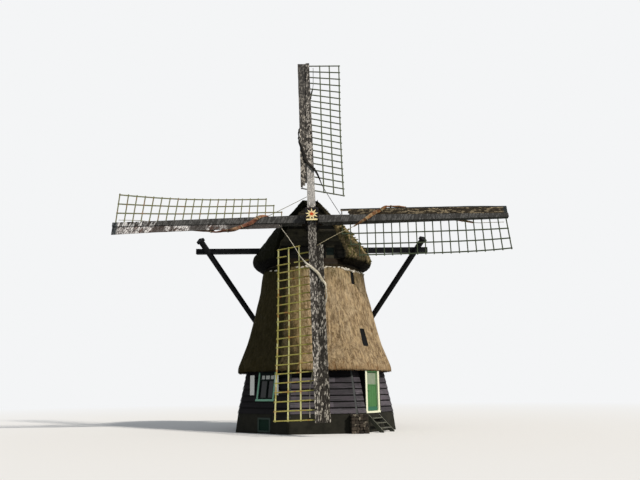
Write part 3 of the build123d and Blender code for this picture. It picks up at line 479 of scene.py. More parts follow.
acrossX, upZ = (1, 0, 0), (0, 0, 1)
leaning = (0, radians(-20), 0)
upright, levelled, slanted = (20, 20, 5), (5, 20, 20), (10, 9, 2)
finishes = {
    # painted shade: the body thatch's left faces are tinted near black, and the band just under the cap is painted dark
    # as the cap's shadow
    "thatch": reedThatch("weathered reed thatch", "bda27a", "6a5338", "dcc8a6", "7f6f43", 0.15,
                         ((upZ, 3.1, 2.6, "94683c", 0.5), (upZ, 6.2, 7.6, "5f5c33", 0.5),
                          (acrossX, -0.02, -0.4, "75663a", 0.6), ((1, -0.24, 0), -0.4, -0.64, "191e0e", 0.84),
                          (upZ, 7.36, 7.46, "12110c", 0.92))),
    # painted shade: the cap thatch is tinted dark away from its sunlit right front flank, darker still on the left and
    # near black under the eave; it is also darker towards the top
    "cap_thatch": reedThatch("mossy reed thatch", "a8946c", "33291c", "c8b68a", "6f6c38", 0.6,
                             (((1, -0.5, 0), 2.35, 1.85, "211f16", 0.9), (upZ, 9.35, 9.8, "2f2d24", 0.78),
                              (acrossX, 0.8, 0.2, "1a1c12", 0.88), (upZ, 8.1, 7.95, "0a0907", 0.97)), (1, 1, 0.4)),
    # painted shade: the moss is tinted dark on the left side and under the eave
    "moss": reedThatch("cushion moss", "85824a", "3d3d1e", "a8a468", "626230", 0.5,
                       ((acrossX, 0.9, 0.3, "1c1f11", 0.88), (upZ, 8.1, 7.95, "0a0907", 0.9)), (1, 1, 1)),
    "tarred_boards": tarredWood("tarred weatherboard", "6a686e", "09090a", "615963", (1.5, 1.5, 34), 0.55, 1.0),
    "gable_boards": tarredWood("tarred gable board", "45423b", "0d0d0c", "55513f", (1.5, 1.5, 34), 0.7, 1.0),
    "corner_boards": tarredWood("tarred corner board", "54565a", "2b2c2e", "5b5f5c", (14, 14, 1)),
    # near-black tar for the door's cheeks and the slit shutters: painted shade on top of the tar's own black
    "shadow_tar": tarredWood("near-black tar with painted shade", "0b0b0c", "060606", "101112", (14, 14, 1)),
    "plinth_tar": tarredWood("tarred plinth render", "2a2a25", "1b1b17", "33322b", (3, 3, 3)),
    "tarred_timber": tarredWood("tarred timber", "191a1d", "0a0a0b", "222428", (2, 2, 6)),
    "dark_timber": tarredWood("old sawn oak", "2b231b", "15110d", "372e24", (3, 3, 12)),
    # painted shade: the curb is darkened for the shade under the cap
    "curb_timber": tarredWood("dark curb timber with painted shade", "2c2721", "14110e", "3b352b", (3, 3, 12)),
    "stock_upright": peelingTar("peeling tar on the upright stock", "625e59", "232120", "e6e0d6", 0.56, upright,
                                ((upZ, 6.6, 7.4, "33322f", 0.45, 9.9, 10.2),
                                 (upZ, 10.1, 10.35, "cccbc9", 0.55, 11.2, 13.0),
                                 (upZ, 13.5, 17.0, "3d3c3a", 0.35))),
    "stock_level": peelingTar("peeling tar on the level stock", "5f5853", "2a2a2a", "ffffff", 0.78, slanted,
                              ((acrossX, -7.5, -7.2, "3b3b3a", 0.9), (acrossX, -9.1, -9.2, "2c3438", 0.9)), leaning),
    "board_top": peelingTar("peeling tar on the top board", "63605c", "292725", "d2ccc1", 0.45, upright,
                            ((upZ, 14.5, 17.5, "3f3e3d", 0.65),)),
    "board_left": peelingTar("peeled white lead on the left board", "7d6257", "2b2220", "ffffff", 0.9, slanted,
                             ((acrossX, -9.1, -9.2, "2c3438", 0.9), (acrossX, -7.5, -7.4, "413a37", 0.9, -6.95, -6.8),
                              (acrossX, -6.7, -6.6, "413a37", 0.9, -6.55, -6.4),
                              (acrossX, -5.8, -5.7, "3f3c3a", 0.92, -5.0, -4.8),
                              (acrossX, -4.8, -4.6, "4a4644", 0.5), (acrossX, -4.1, -3.9, "403d3b", 0.92)), leaning),
    "board_bottom": peelingTar("peeling tar on the bottom board", "5a5650", "242220", "d6d0c4", 0.48, upright),
    "board_right": peelingTar("lichen on the right board", "53493b", "2b2721", "ab9c80", 0.5, levelled,
                              (((-0.018, 0, 1), 10.085, 10.1, "2c3134", 0.9), (acrossX, 9.15, 9.25, "2a3337", 0.9))),
    "cream_paint": paintedWood("cream oil paint", "e6e9d0", "aeb09a", 0.12),
    "green_paint": paintedWood("green oil paint", "4d7a4c", "3b5c3c", 0.25),
    "foot_paint": paintedWood("blue-green oil paint on the kick board", "3a6a55", "2c5242", 0.3),
    "hatch_paint": paintedWood("dark green oil paint", "173127", "10211b", 0.3),
    "teal_paint": paintedWood("blue-green oil paint", "93c9b0", "6b9c85", 0.3),
    "frame_paint": paintedWood("grey-green oil paint", "47544f", "343d39", 0.35),
    "sash_paint": paintedWood("black-green oil paint", "111a18", "0b100f", 0.2),
    "white_paint": paintedWood("white oil paint", "fafcfb", "cfd6d3", 0.15),
    "dark_glass": oldGlass("drawn window glass", "15181b", "23282c"),
    "door_pane": oldGlass("door glass", "75836c", "8f9a87", 0.2),
    "curtain": paintedWood("net curtain behind glass", "e2e6e2", "b4bbb8", 0.4, 0.7),
    "iron": castIron("tarred cast iron"),
    "step_wood": weatheredLath("bare grey step wood", "84847f", "4a4a47", "4d523b"),
    "lath_top": weatheredLath("dark grey-green sail lath", "6b7060", "3c4236", "4e5a41"),
    "lath_left": weatheredLath("pale grey-green sail lath", "83856a", "55573f", "6c7252", "8a6a56"),
    "lath_bottom": weatheredLath("mossy sail bar", "bab06e", "7a733c", "92954b", "9a6640"),
    # painted light: the lower sail's lath fronts are paler as if sunlit
    "lit_lath_face": weatheredLath("sail lath face painted as sunlit", "d6d4a4", "a5a36c", "b5b87c", "b59a6c"),
    # painted shade: the right sail's laths are darker
    "lath_right": weatheredLath("shaded grey-green sail lath", "59624f", "333a31", "47523f"),
    "yellow_paint": paintedWood("cream-yellow paint", "ebe0ae", "c9a763", 0.3),
    "red_paint": paintedWood("red lead paint", "c0502a", "8a3a22", 0.3),
    "floor_boards": weatheredLath("scrubbed floorboards", "8a6f50", "5c4733", "6a5a44"),
    "brick": roughStone("field stone and brick", "2f2c29", "544c44", "9a9384"),
    "mortar": roughStone("lime mortar ring", "e9e4d8", "c2bbad", "f2efe6", 0.12),
    "brown_canvas": canvas("red-brown tanned canvas", "8a5a45", "45291f", "a08668"),
    "rust_canvas": canvas("orange-brown tanned canvas", "96653d", "4f301f", "b4a27c"),
    "dark_canvas": canvas("black tarred canvas", "1f1d1b", "100f0e", "35312b"),
    "cream_canvas": canvas("bleached canvas", "ddd8c8", "8f8a79", "aaa189"),
    "hemp": rope("hemp rope", "b5ad92", "6c6550"),
    "pale_hemp": rope("bleached hemp rope", "e4e0d2", "a39c88"),
    "dark_hemp": rope("tarred hemp rope", "3c3831", "1f1d19"),
}
slotFinish = {"stock_tar": "stock_upright", "sailcloth": "brown_canvas", "board_tar": "board_bottom",
              "lattice_wood": "lath_top"}
nodeFinish = {"inner_stock": "stock_level", "low_hatch_frame": "frame_paint", "low_hatch_panel": "hatch_paint",
              "window_frames": "teal_paint", "door_glass": "door_pane", "cap_gable": "gable_boards",
              "door_cheeks": "shadow_tar", "cap_hatch": "sash_paint", "curb": "curb_timber",
              "lattice_two": "lath_left", "lattice_three": "lath_bottom", "lattice_four": "lath_right",
              "sailcloth_one": "dark_canvas", "sailcloth_three": "cream_canvas", "sailcloth_four": "rust_canvas"}
slotOf = {row["node"]: row["material_slot"] for row in frame["record"]["subparts"]}
for name, piece in frame["nodes"].items():
    piece.data.materials.clear()
    piece.data.materials.append(finishes[nodeFinish.get(name) or slotFinish.get(slotOf[name], slotOf[name])])
print("materials made")

# Wind boards: three planks before each stock's leading side, on battens let into their backs
windBoard = {"edge": 0.53, "back": 0.0145, "front": 0.0425, "planks": 3, "gap": 0.002, "cuts": 26, "bar": 0.045,
             "barEvery": 4, "wear": 0.007, "ragged": 0.03, "hubHalf": 0.195, "tipHalf": 0.1,
             # where each sail's planks start, from the outer edge to the stock
             "starts": ((1.50, 1.62, 1.78), (1.53, 1.55, 1.52), (1.60, 1.57, 1.62), (1.40, 1.72, 1.80))}
lathFace = {"half": 0.028, "back": 0.012, "front": 0.0165, "over": 0.04, "cuts": 40}


def setMaterial(verts, index):
    for face in facesOf(verts):
        face.material_index = index


def plank(bm, number, cuts, shape):
    # a board along a sail: shape turns the shares -0.5 to 0.5 into its reach, side and lift
    verts = bmesh.ops.create_cube(bm, size=1)["verts"]
    runs = [e for e in {e for v in verts for e in v.link_edges} if abs(e.verts[0].co.y - e.verts[1].co.y) > 0.5]
    bmesh.ops.subdivide_edges(bm, edges=runs, cuts=cuts, use_grid_fill=True)
    made = [v for v in bm.verts if not v.tag]
    for v in made:
        v.tag = True
        v.co = sailPlace(number) @ onSail(*shape(v.co))
    return made


def makeWindBoards():
    draw, board, length = random.Random(8), windBoard, sail["length"]
    bm = tonedMesh()
    for number, starts in enumerate(board["starts"]):
        for k, start in enumerate(starts):

            def shape(share):
                reach = start + (length - start) * (share.y + 0.5)
                half = board["hubHalf"] + (board["tipHalf"] - board["hubHalf"]) * reach / length
                wide = (board["edge"] - half) / board["planks"]
                side = -board["edge"] + wide * (k + share.x + 0.5) - board["gap"] * (share.x > 0)
                if k == 0 and share.x < 0:
                    side += (1 + 2 * lump((reach * 1.4, number, 0))) * board["wear"]
                lift = board["front"] if share.z > 0 else board["back"]
                lift += lump((reach * 1.1, k * 3.0, number * 2.0), seed=4) * board["wear"]
                if share.y < -0.49:
                    reach += draw.uniform(-board["ragged"], board["ragged"])
                return reach, side, lift

            made = plank(bm, number, board["cuts"], shape)
            setMaterial(made, number)
            toneFaces(bm, facesOf(made), draw.random())
        half = board["bar"] / 2
        for n in range(0, sail["bars"], board["barEvery"]):
            reach = sail["root"] + (sail["tip"] - sail["root"]) / (sail["bars"] - 1) * n
            if reach > starts[0] - 0.1:
                place = (sailPlace(number) @ Matrix.Translation((0, reach, 0))
                         @ Matrix.Rotation(radians(twistAt(reach)), 4, "Y"))
                verts = block(bm, (-0.5, -half, -half), (-0.1, half, half), place)
                setMaterial(verts, number)
                for v in verts:
                    v.tag = True
    bmesh.ops.recalc_face_normals(bm, faces=bm.faces)
    addPiece("windBoards", bm, "sails", "board_top", "board_left", "board_bottom", "board_right", slot="board_tar",
             soften=0.003, replaces=["wind_boards"])


def makeLathFaces():
    # the lower sail's lath fronts, between the bars let into them, in a paler finish that is painted light
    bm = bmesh.new()
    start, run = sail["root"] - lathFace["over"], sail["tip"] - sail["root"] + 2 * lathFace["over"]
    for middle in sail["laths"]:

        def shape(share):
            return (start + run * (share.y + 0.5), middle + 2 * lathFace["half"] * share.x,
                    lathFace["front"] if share.z > 0 else lathFace["back"])

        plank(bm, 2, lathFace["cuts"], shape)
    bmesh.ops.recalc_face_normals(bm, faces=bm.faces)
    addPiece("lathFaces", bm, "sails", "lit_lath_face", slot="lattice_wood")


makeWindBoards()
makeLathFaces()
print("wind boards made")

# Furled sailcloths, each one rolled along its stock and round the wind board, and their ropes
clothLay = {"stockHub": 0.36, "stockTip": 0.2, "poll": 0.62, "gap": 0.0006, "turns": 4.4, "around": 72, "along": 96,
            "cloth": 0.002, "lashings": (0.1, 0.26, 0.44, 0.63, 0.8, 0.93), "lashing": (0.03, 0.014),
            "rope": 0.028, "outerRope": 1.45,
            # how far out the outer rope lies, its share of the way to the first lath, and how far behind the stock
            # or above the sail's plane
            "behindStock": ((7.755, 0.36, 0.04), (7.99, 0.42, 0.03)),
            "behindSail": ((8.3472, 0.45, -0.0525), (8.742, 0.46, -0.045), (9.1791, 0.465, -0.0425))}
# each cloth's name, girth, how far it starts from the stock, the place of its tie on the next stock, the looks, the
# length of its inner rope, and how far out the roll lies over the bars, over the stock, round the board's edge,
# behind the board, and behind the stock to its end
cloths = (("One", 0.62, 0.84, 1.40, "dark_canvas", "dark_hemp", 1.7,
           (1.80, 2.35, 2.95, 3.55, 4.05, 4.3, 4.5, 4.72, 5.1, 5.85, 6.5, 7.1, 7.8)),
          ("Two", 1.0, 0.5, 1.10, "brown_canvas", "hemp", 2.05,
           (2.08, 2.45, 2.85, 3.25, 3.6, 3.85, 4.15, 4.5, 4.85, 5.6, 6.4, 7.1, 7.8)),
          ("Three", 0.6, 0.84, 1.56, "cream_canvas", "pale_hemp", 2.1,
           (2.05, 2.55, 2.95, 3.3, 3.55, 3.72, 3.9, 4.1, 4.5, 5.4, 6.3, 7.1, 7.8)),
          ("Four", 0.85, 0.5, 1.50, "rust_canvas", "hemp", 2.2,
           (1.99, 2.45, 2.9, 3.25, 3.55, 3.72, 3.95, 4.25, 4.7, 5.6, 6.4, 7.1, 7.75)))


def onStock(reach, x, thick, way=1):
    share = (reach - clothLay["poll"]) / (sail["length"] - clothLay["poll"])
    front = (clothLay["stockHub"] + share * (clothLay["stockTip"] - clothLay["stockHub"])) / 2
    return Vector((x, reach, way * (front + clothLay["gap"] + thick)))


def clothStations(r, girth, begin):
    # centre, way out of the sail, half width and half thickness of the roll
    board, first, front, gap = windBoard["edge"], sail["laths"][0], windBoard["front"], clothLay["gap"]
    edge = (windBoard["back"] + front) / 2
    past, outOf = board + 0.052 * girth, front + 0.052 * girth
    ahead, behind = Vector((0, 0, 1)), Vector((0, 0, -1))
    rows = [(onSail(r[0], first * begin, 0.0225 + gap + 0.035 * girth), faceOut(r[0]), 0.035, 0.03),
            (onStock(r[1], first * begin * 0.48, 0.05 * girth), ahead, 0.09, 0.05),
            (onStock(r[2], -board * 0.3, 0.06 * girth), ahead, 0.12, 0.06),
            (onSail(r[3], -board * 0.75, front + gap + 0.065 * girth), faceOut(r[3]), 0.11, 0.05),
            (onSail(r[4], -past, outOf), faceOut(r[4], -45), 0.1, 0.042),
            (onSail(r[5], -past - 0.01, edge), faceOut(r[5], -90), 0.095, 0.042),
            (onSail(r[6], -past - 0.01, edge - 0.015), faceOut(r[6], -100), 0.095, 0.042),
            (onSail(r[7], -past + 0.01, -0.07), faceOut(r[7], -135), 0.095, 0.04),
            (onSail(r[8], -board * 0.81, -0.1), faceOut(r[8], 180), 0.095, 0.045),
            (onStock(r[9], -board * 0.44, 0.045, -1), behind, 0.09, 0.045),
            (onStock(r[10], -board * 0.11, 0.045, -1), behind, 0.085, 0.045),
            (onStock(r[11], first * 0.12, 0.045, -1), behind, 0.08, 0.045),
            (onStock(r[12], first * 0.36, 0.04, -1), behind, 0.055, 0.035)]
    return [(centre, out, wide * girth, thick * girth) for centre, out, wide, thick in rows]


def clothLine(stations, t):
    centre, out, wide, thick = smoothly(stations, t * (len(stations) - 1))
    return centre, out.normalized(), wide, thick


def rollRing(stations, t):
    centre, out, wide, thick = clothLine(stations, t)
    ahead = (clothLine(stations, min(t + 0.01, 1))[0] - clothLine(stations, max(t - 0.01, 0))[0]).normalized()
    across = ahead.cross(out).normalized()
    return centre, ahead, across, across.cross(ahead), wide, thick


def makeCloth(number, name, look, stations, girth):
    bm = bmesh.new()
    bmesh.ops.create_grid(bm, x_segments=clothLay["around"], y_segments=clothLay["along"], size=0.5)
    for v in bm.verts:
        u, t = v.co.x + 0.5, v.co.y + 0.5
        centre, ahead, across, out, wide, thick = rollRing(stations, t)
        angle = 2 * pi * clothLay["turns"] / girth * u + 3.2 * t + number
        folds = lump((u * 9 + t * 4, t * 22 - u * 5, number * 3.0))
        grow = (0.3 + 0.7 * u) * (0.97 + 0.2 * folds * (0.4 + 0.6 * u))
        v.co = sailPlace(number) @ (centre + across * wide * grow * cos(angle) + out * thick * grow * sin(angle))
    piece = addPiece("furledCloth" + name, bm, "sails", look, smooth=True, slot="sailcloth",
                     replaces=["sailcloth_" + name.lower()])
    thicken(piece, clothLay["cloth"])
    return piece


def makeLashings(number, name, look, stations):
    bm = bmesh.new()
    width, thickness = clothLay["lashing"]
    for t in clothLay["lashings"]:
        centre, ahead, across, out, wide, thick = rollRing(stations, t)
        ring = bmesh.ops.create_circle(bm, segments=20, radius=1)["verts"]
        for v in ring:
            x, y = v.co.x * (wide * 1.03 + 0.006), v.co.y * (thick * 1.05 + 0.006)
            v.co = centre + across * x + out * y + ahead * 0.02 * v.co.x
        tube = bmesh.ops.extrude_edge_only(bm, edges=list({e for v in ring for e in v.link_edges}))["geom"]
        bmesh.ops.translate(bm, verts=[g for g in tube if isinstance(g, bmesh.types.BMVert)], vec=ahead * width)
    bmesh.ops.transform(bm, matrix=sailPlace(number), verts=bm.verts)
    bmesh.ops.recalc_face_normals(bm, faces=bm.faces)
    piece = addPiece("clothLashings" + name, bm, "sails", look, smooth=True, slot="sailcloth")
    thicken(piece, thickness, 1)
    return piece


def makeRope(name, points, look):
    curve = bpy.data.curves.new(name, "CURVE")
    curve.dimensions, curve.bevel_depth, curve.use_fill_caps = "3D", clothLay["rope"] / 2, True
    curve.bevel_resolution, curve.resolution_u = 3, 12
    line = curve.splines.new("NURBS")
    line.points.add(len(points) - 1)
    for point, place in zip(line.points, points):
        point.co = (*place, 1)
    line.order_u, line.use_endpoint_u = 3, True
    piece = addObject(name, curve)
    curve.materials.append(finishes[look])
    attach(piece, "sails")


def makeSailcloths():
    first = sail["laths"][0]
    for number, (name, girth, begin, tie, look, ropeLook, innerLength, reaches) in enumerate(cloths):
        stations = clothStations(reaches, girth, begin)
        cloth = makeCloth(number, name, look, stations, girth)
        ties = makeLashings(number, name, ropeLook, stations)
        start, end = Vector((tie, 0.2096, 0.36 if number % 2 else -0.36)), stations[0][0]
        sag = Vector((0, -0.05, 0.03))
        inner = [start, start.lerp(end, 0.3) + sag * 0.7, start.lerp(end, 0.7) + sag, end]
        outer = [onStock(reach, first * share, thick, -1) for reach, share, thick in clothLay["behindStock"]]
        outer += [onSail(reach, first * share, lift) for reach, share, lift in clothLay["behindSail"]]
        for kind, points, length in (("inner", inner, innerLength), ("outer", outer, clothLay["outerRope"])):
            makeRope(kind + "Rope" + name, [sailPlace(number) @ p for p in points], ropeLook)


makeSailcloths()
print("sailcloths and ropes made")

# The star, the painted edge and the iron on the poll end, and the wedges that hold the stocks
poll = {"front": 0.301, "half": 0.31, "points": 9, "thick": 0.02, "lower": 0.055, "star": (0.31, 0.135),
        "redStar": (0.17, 0.055), "redThick": 0.008, "hoops": ((0.17, 0.24), (-0.235, -0.185), (-0.74, -0.66)),
        "hoop": 0.014, "bolts": (-0.13, 0.13)}


def starShape(bm, radii, low, high, index, place):
    # radii are those of the points and of the notches between them
    ring = bmesh.ops.create_circle(bm, cap_ends=True, segments=2 * poll["points"], radius=radii[0])["verts"]
    for n, v in enumerate(ring):
        if n % 2:
            v.co *= radii[1] / radii[0]
        v.co.z = low
    face = next(iter(ring[0].link_faces))
    face.material_index = index
    grown = bmesh.ops.extrude_face_region(bm, geom=[face])["geom"]
    tops = [g for g in grown if isinstance(g, bmesh.types.BMVert)]
    bmesh.ops.translate(bm, verts=tops, vec=(0, 0, high - low))
    bmesh.ops.transform(bm, matrix=place, verts=ring + tops)


def makePollEnd():
    place = sailPlace(0)
    bm = bmesh.new()
    front, low = poll["front"], place @ Matrix.Translation((0, -poll["lower"], 0))
    red = front + poll["thick"]
    starShape(bm, poll["star"], front, red, 0, low)
    starShape(bm, poll["redStar"], red, red + poll["redThick"], 1, low)
    block(bm, (-0.26, -0.38, front), (0.26, -0.31, front + 0.014), place)
    block(bm, (-0.22, -0.36, front - 0.03), (0.22, -0.29, front), place)
    bmesh.ops.recalc_face_normals(bm, faces=bm.faces)
    addPiece("pollStar", bm, "sails", "yellow_paint", "red_paint", slot="yellow_paint", soften=0.002,
             replaces=["poll_star"])
    bm = bmesh.new()
    wide = poll["half"] + poll["hoop"]
    for low, high in poll["hoops"]:
        block(bm, (-wide, -wide, low), (wide, wide, high), place)
    for x in poll["bolts"]:  # the clamp on the lower stock
        block(bm, (x - 0.045, -0.56, 0.16), (x + 0.045, -0.36, 0.21), place)
        bmesh.ops.create_cone(bm, cap_ends=True, segments=8, radius1=0.03, radius2=0.026, depth=0.03,
                              matrix=place @ Matrix.Translation((x, -0.46, 0.224)))
    addPiece("pollIron", bm, "sails", "iron", slot="iron", soften=0.004)
    bm = bmesh.new()
    for number in range(4):
        place = sailPlace(number)
        for side in (-1, 1):
            verts = block(bm, (0.197, 0.3, -0.07), (0.245, 0.47, 0.07), place @ Matrix.Diagonal((side, 1, 1, 1)))
            for v in sorted(verts, key=lambda v: (place.inverted() @ v.co).y)[4:]:
                v.co -= place.to_3x3() @ Vector((0, 0, 0.02))
    bmesh.ops.recalc_face_normals(bm, faces=bm.faces)
    addPiece("stockWedges", bm, "sails", "dark_timber", slot="dark_timber", soften=0.006)


makePollEnd()
print("poll end made")

# Thatch of the body: one coat of reed with soft ridges, its slit windows cut through it
reed = {"columns": 320, "rows": 74, "thick": 0.34, "lumps": 0.035, "streaks": 0.022, "ridge": 0.05,
        "slits": ((-0.17, 0.42, 3.75, 4.57), (-0.095, 0.28, 6.73, 7.35)), "slitFaces": (1, 5)}


def reedRadius(angle, z):
    # the octagon's outside in a direction, with its corners rubbed round
    part = (angle / (2 * eighth) + 0.5) % 1 - 0.5
    flat = alongLine(thatchLine, z) * cos(eighth) / cos(part * 2 * eighth)
    return flat - reed["ridge"] * max(abs(part) * 2 - 0.72, 0) / 0.28


def facesWithin(bm, x0, x1, y0, y1):
    # the faces of a flat mesh with their middle in a rectangle
    middles = ((f, f.calc_center_median()) for f in bm.faces)
    return [f for f, middle in middles if x0 < middle.x < x1 and y0 < middle.y < y1]


def makeBodyThatch():
    bm = bmesh.new()
    bmesh.ops.create_grid(bm, x_segments=reed["columns"], y_segments=reed["rows"], size=0.5)
    low, high = thatchLine[0][0], thatchLine[-1][0]
    for v in bm.verts:  # unrolled for now, so that the windows can be cut square
        v.co = Vector(((v.co.x + 0.5) * 2 * pi, low + (high - low) * (v.co.y + 0.5), 0))
    for number in reed["slitFaces"]:
        for side, width, z0, z1 in reed["slits"]:
            front = alongLine(thatchLine, (z0 + z1) / 2) * cos(eighth)
            a0, a1 = (number * 2 * eighth + (side + s * width / 2) / front for s in (-1, 1))
            for place, way in (((a0, 0, 0), (1, 0, 0)), ((a1, 0, 0), (1, 0, 0)), ((0, z0, 0), (0, 1, 0)),
                               ((0, z1, 0), (0, 1, 0))):
                near = facesWithin(bm, a0 - 0.1, a1 + 0.1, z0 - 0.2, z1 + 0.2)
                geom = set(near) | {e for f in near for e in f.edges} | {v for f in near for v in f.verts}
                bmesh.ops.bisect_plane(bm, geom=list(geom), plane_co=place, plane_no=way, dist=0.0005)
            bmesh.ops.delete(bm, geom=facesWithin(bm, a0, a1, z0, z1), context="FACES")
    for v in bm.verts:
        angle, z = v.co.x, v.co.y
        x, y, edge = cos(angle), sin(angle), max(1 - (z - low) / 0.25, 0)
        swell = lump((x * 2.2, y * 2.2, z * 0.8)) * reed["lumps"]
        streak = lump((x * 26, y * 26, z * 1.1), seed=5) * reed["streaks"]
        radius = reedRadius(angle, z) + swell + streak + 0.012 - 0.06 * edge ** 2
        z -= edge * (0.03 + 0.03 * lump((x * 30, y * 30, 0), seed=2))
        radius -= 0.06 * (max(z - high + 0.3, 0) / 0.3) ** 2
        v.co = roundTower(angle, radius, z)
    bmesh.ops.remove_doubles(bm, verts=bm.verts, dist=0.001)
    faceOutward(bm, 0)
    thicken(addPiece("bodyThatch", bm, "tower", "thatch", smooth=True, slot="thatch",
                     replaces=["thatch_front_and_sides", "thatch_between"]), reed["thick"])


# Thatch of the cap, over its front edge, ridge and stern
capReed = {"along": 74, "around": 84, "lumps": 0.05, "tufts": 0.02, "streaks": 0.02, "stern": 0.12, "sternLong": 0.28}


def capPoint(step, t):
    # t runs from the left foot over the ridge to the right foot
    station = smoothly(capStations, step)
    way = 1 - abs(2 * t - 1)  # 0 at a foot, 1 at the ridge
    side = -1 if t < 0.5 else 1
    if way < 0.12:
        z = cap["foot"] + (cap["eave"] - cap["foot"]) * way / 0.12
        return Vector((side * capEdge(station, z), station[0], z))
    z = min(cap["eave"] + station[2] * sin((way - 0.12) / 0.88 * pi / 2), cap["crest"])
    edge = capEdge(station, z) * min((1 - way) / 0.06, 1)
    return Vector((side * edge + cap["lean"] * (z - cap["eave"]), station[0], z))


def makeCapThatch():
    bm = bmesh.new()
    bmesh.ops.create_grid(bm, x_segments=capReed["around"], y_segments=capReed["along"], size=0.5)
    for v in bm.verts:
        t, along = v.co.x + 0.5, (v.co.y + 0.5) * (1 + capReed["stern"])
        point = capPoint(min(along, 1) * (len(capStations) - 1), t)
        if along > 1:  # the stern closes in a low dome
            turn = (along - 1) / capReed["stern"] * pi / 2
            middle = Vector((0, point.y, cap["eave"] + 0.25))
            point = middle + (point - middle) * cos(turn) + Vector((0, capReed["sternLong"] * sin(turn), 0))
        out = Vector((point.x, max(point.y - 1.5, 0), (point.z - cap["eave"]) * 0.9)).normalized()
        swell = lump(point, 0.9) * capReed["lumps"] + lump(point, 4.0, 3) * capReed["tufts"]
        streak = lump((point.x * 2, point.y * 16, point.z * 1.5), seed=5) * capReed["streaks"]
        v.co = point + out * (swell + streak - (0.05 if point.z > 8.5 else -0.01))
    bmesh.ops.remove_doubles(bm, verts=bm.verts, dist=0.002)
    faceOutward(bm, 2)
    thicken(addPiece("capThatch", bm, "cap", "cap_thatch", smooth=True, slot="cap_thatch",
                     replaces=["cap_thatch_left", "cap_thatch_right"]), cap["thatch"])


makeBodyThatch()
makeCapThatch()
print("thatch made")

# Reed ends that stick out of the cut edges, and cushions of moss
tufts = {"eave": 900, "verge": 260, "foot": 520, "top": 420, "length": (0.10, 0.2), "radius": (0.008, 0.02),
         "moss": 320, "mossSize": (0.03, 0.085), "mossTop": 9.6, "curbClear": 2.82}


def tuft(bm, draw, foot, way, share=1.0):
    length, radius = draw.uniform(*tufts["length"]) * share, draw.uniform(*tufts["radius"])
    turn = Vector((0, 0, 1)).rotation_difference(Vector(way).normalized()).to_matrix().to_4x4()
    bmesh.ops.create_cone(bm, cap_ends=True, segments=5, radius1=radius, radius2=radius * 0.35, depth=length,
                          matrix=Matrix.Translation(foot) @ turn)


def makeTufts():
    draw, low, high, last = random.Random(11), thatchLine[0][0], thatchLine[-1][0], len(capStations) - 1
    bm = bmesh.new()
    for n in range(tufts["eave"]):
        angle = 2 * pi * (n + draw.random()) / tufts["eave"]
        foot = roundTower(angle, reedRadius(angle, low) - 0.045 - draw.uniform(0.01, 0.3), low + 0.02)
        out = roundTower(angle, 0.25, 0)
        tuft(bm, draw, foot, (out.x + draw.uniform(-0.2, 0.2), out.y + draw.uniform(-0.2, 0.2), -1))
    for n in range(tufts["top"]):
        angle = 2 * pi * (n + draw.random()) / tufts["top"]
        foot = roundTower(angle, reedRadius(angle, high) - 0.07 - draw.uniform(0, 0.15), high - 0.03)
        tuft(bm, draw, foot, (draw.uniform(-0.4, 0.4), draw.uniform(-0.4, 0.4), 1), 0.35)
    addPiece("eaveReed", bm, "tower", "thatch", slot="thatch")
    bm = bmesh.new()
    for n in range(tufts["verge"]):
        point = capPoint(0, (n + draw.random()) / tufts["verge"])
        inward = (Vector((0, point.y, 8.9)) - point).normalized()
        foot = point + inward * draw.uniform(0.02, 0.2) + Vector((0, 0.02, 0))
        tuft(bm, draw, foot, (draw.uniform(-0.3, 0.3), -1, draw.uniform(-0.35, 0.2)))
    for n in range(tufts["foot"]):
        point = capPoint(last * draw.random(), draw.choice((0.0, 1.0)))
        foot = point + Vector((-draw.uniform(0.02, 0.18) * (1 if point.x > 0 else -1), 0, 0.02))
        if foot.xy.length >= tufts["curbClear"]:
            tuft(bm, draw, foot, (draw.uniform(-0.3, 0.3), draw.uniform(-0.3, 0.3), -1), 0.8)
    addPiece("capReedEnds", bm, "cap", "cap_thatch", slot="cap_thatch")
    bm = bmesh.new()
    for n in range(tufts["moss"]):
        step, t = draw.random() ** 1.6 * last * 0.7, draw.choice((draw.uniform(0.6, 0.98), draw.uniform(0.45, 0.98)))
        size, spot = draw.uniform(*tufts["mossSize"]), capPoint(step, t)
        if spot.z <= tufts["mossTop"]:
            turn = Matrix.Rotation(draw.uniform(0, 3), 4, "Z")
            bmesh.ops.create_icosphere(bm, subdivisions=1, radius=size,
                                       matrix=Matrix.Translation(spot) @ turn @ Matrix.Diagonal((1.3, 0.9, 0.6, 1)))
    for v in bm.verts:
        v.co += Vector((1, 1, 1)) * lump(v.co, 14.0) * 0.02
    addPiece("capMoss", bm, "cap", "moss", smooth=True, slot="cap_thatch")


makeTufts()
print("reed ends and moss made")

# Lapped weatherboards on the eight walls, over a smooth tarred skirt
boards = {"edges": (0.82, 1.08, 1.345, 1.60, 1.87, 2.13, 2.40, 2.66), "lap": 0.03, "lowProud": 0.056,
          "highProud": 0.024, "thick": 0.022, "corner": 0.045, "line": 0.055, "skirt": 0.03, "skirtTop": 0.85,
          # side from, side to, bottom and top of what the boards and the skirt are cut round, by face
          "openings": {1: [(-0.775, 0.395, 0.79, 2.7)], 7: [(-0.49, 0.59, 1.33, 2.63), (-0.22, 0.54, -0.1, 0.665)],
                       3: [(-0.49, 0.59, 1.33, 2.63)]},
          # painted shade by face: the faces turned from the sun are toned dark, the one that meets it lightest
          "shade": (0.0, -0.15, 0.1, 0.3, 0.5, 0.7, 0.9, 0.9)}


def cornerEdge(side):
    return lambda z: side * (wallFront(z) * sin(eighth) / cos(eighth) - boards["corner"])


def runsAround(number, low, top):
    # what a board becomes where windows and the door are cut out of it
    left, right = cornerEdge(-1), cornerEdge(1)
    runs = [(left, right, low, top)]
    for x0, x1, z0, z1 in boards["openings"].get(number, []):
        if z0 < top and z1 > low:
            runs = [(left, fixed(x0), low, top), (fixed(x1), right, low, top)]
            runs += [(fixed(x0), fixed(x1), a, b) for a, b in ((low, z0), (z1, top)) if b - a > 0.04]
    return runs


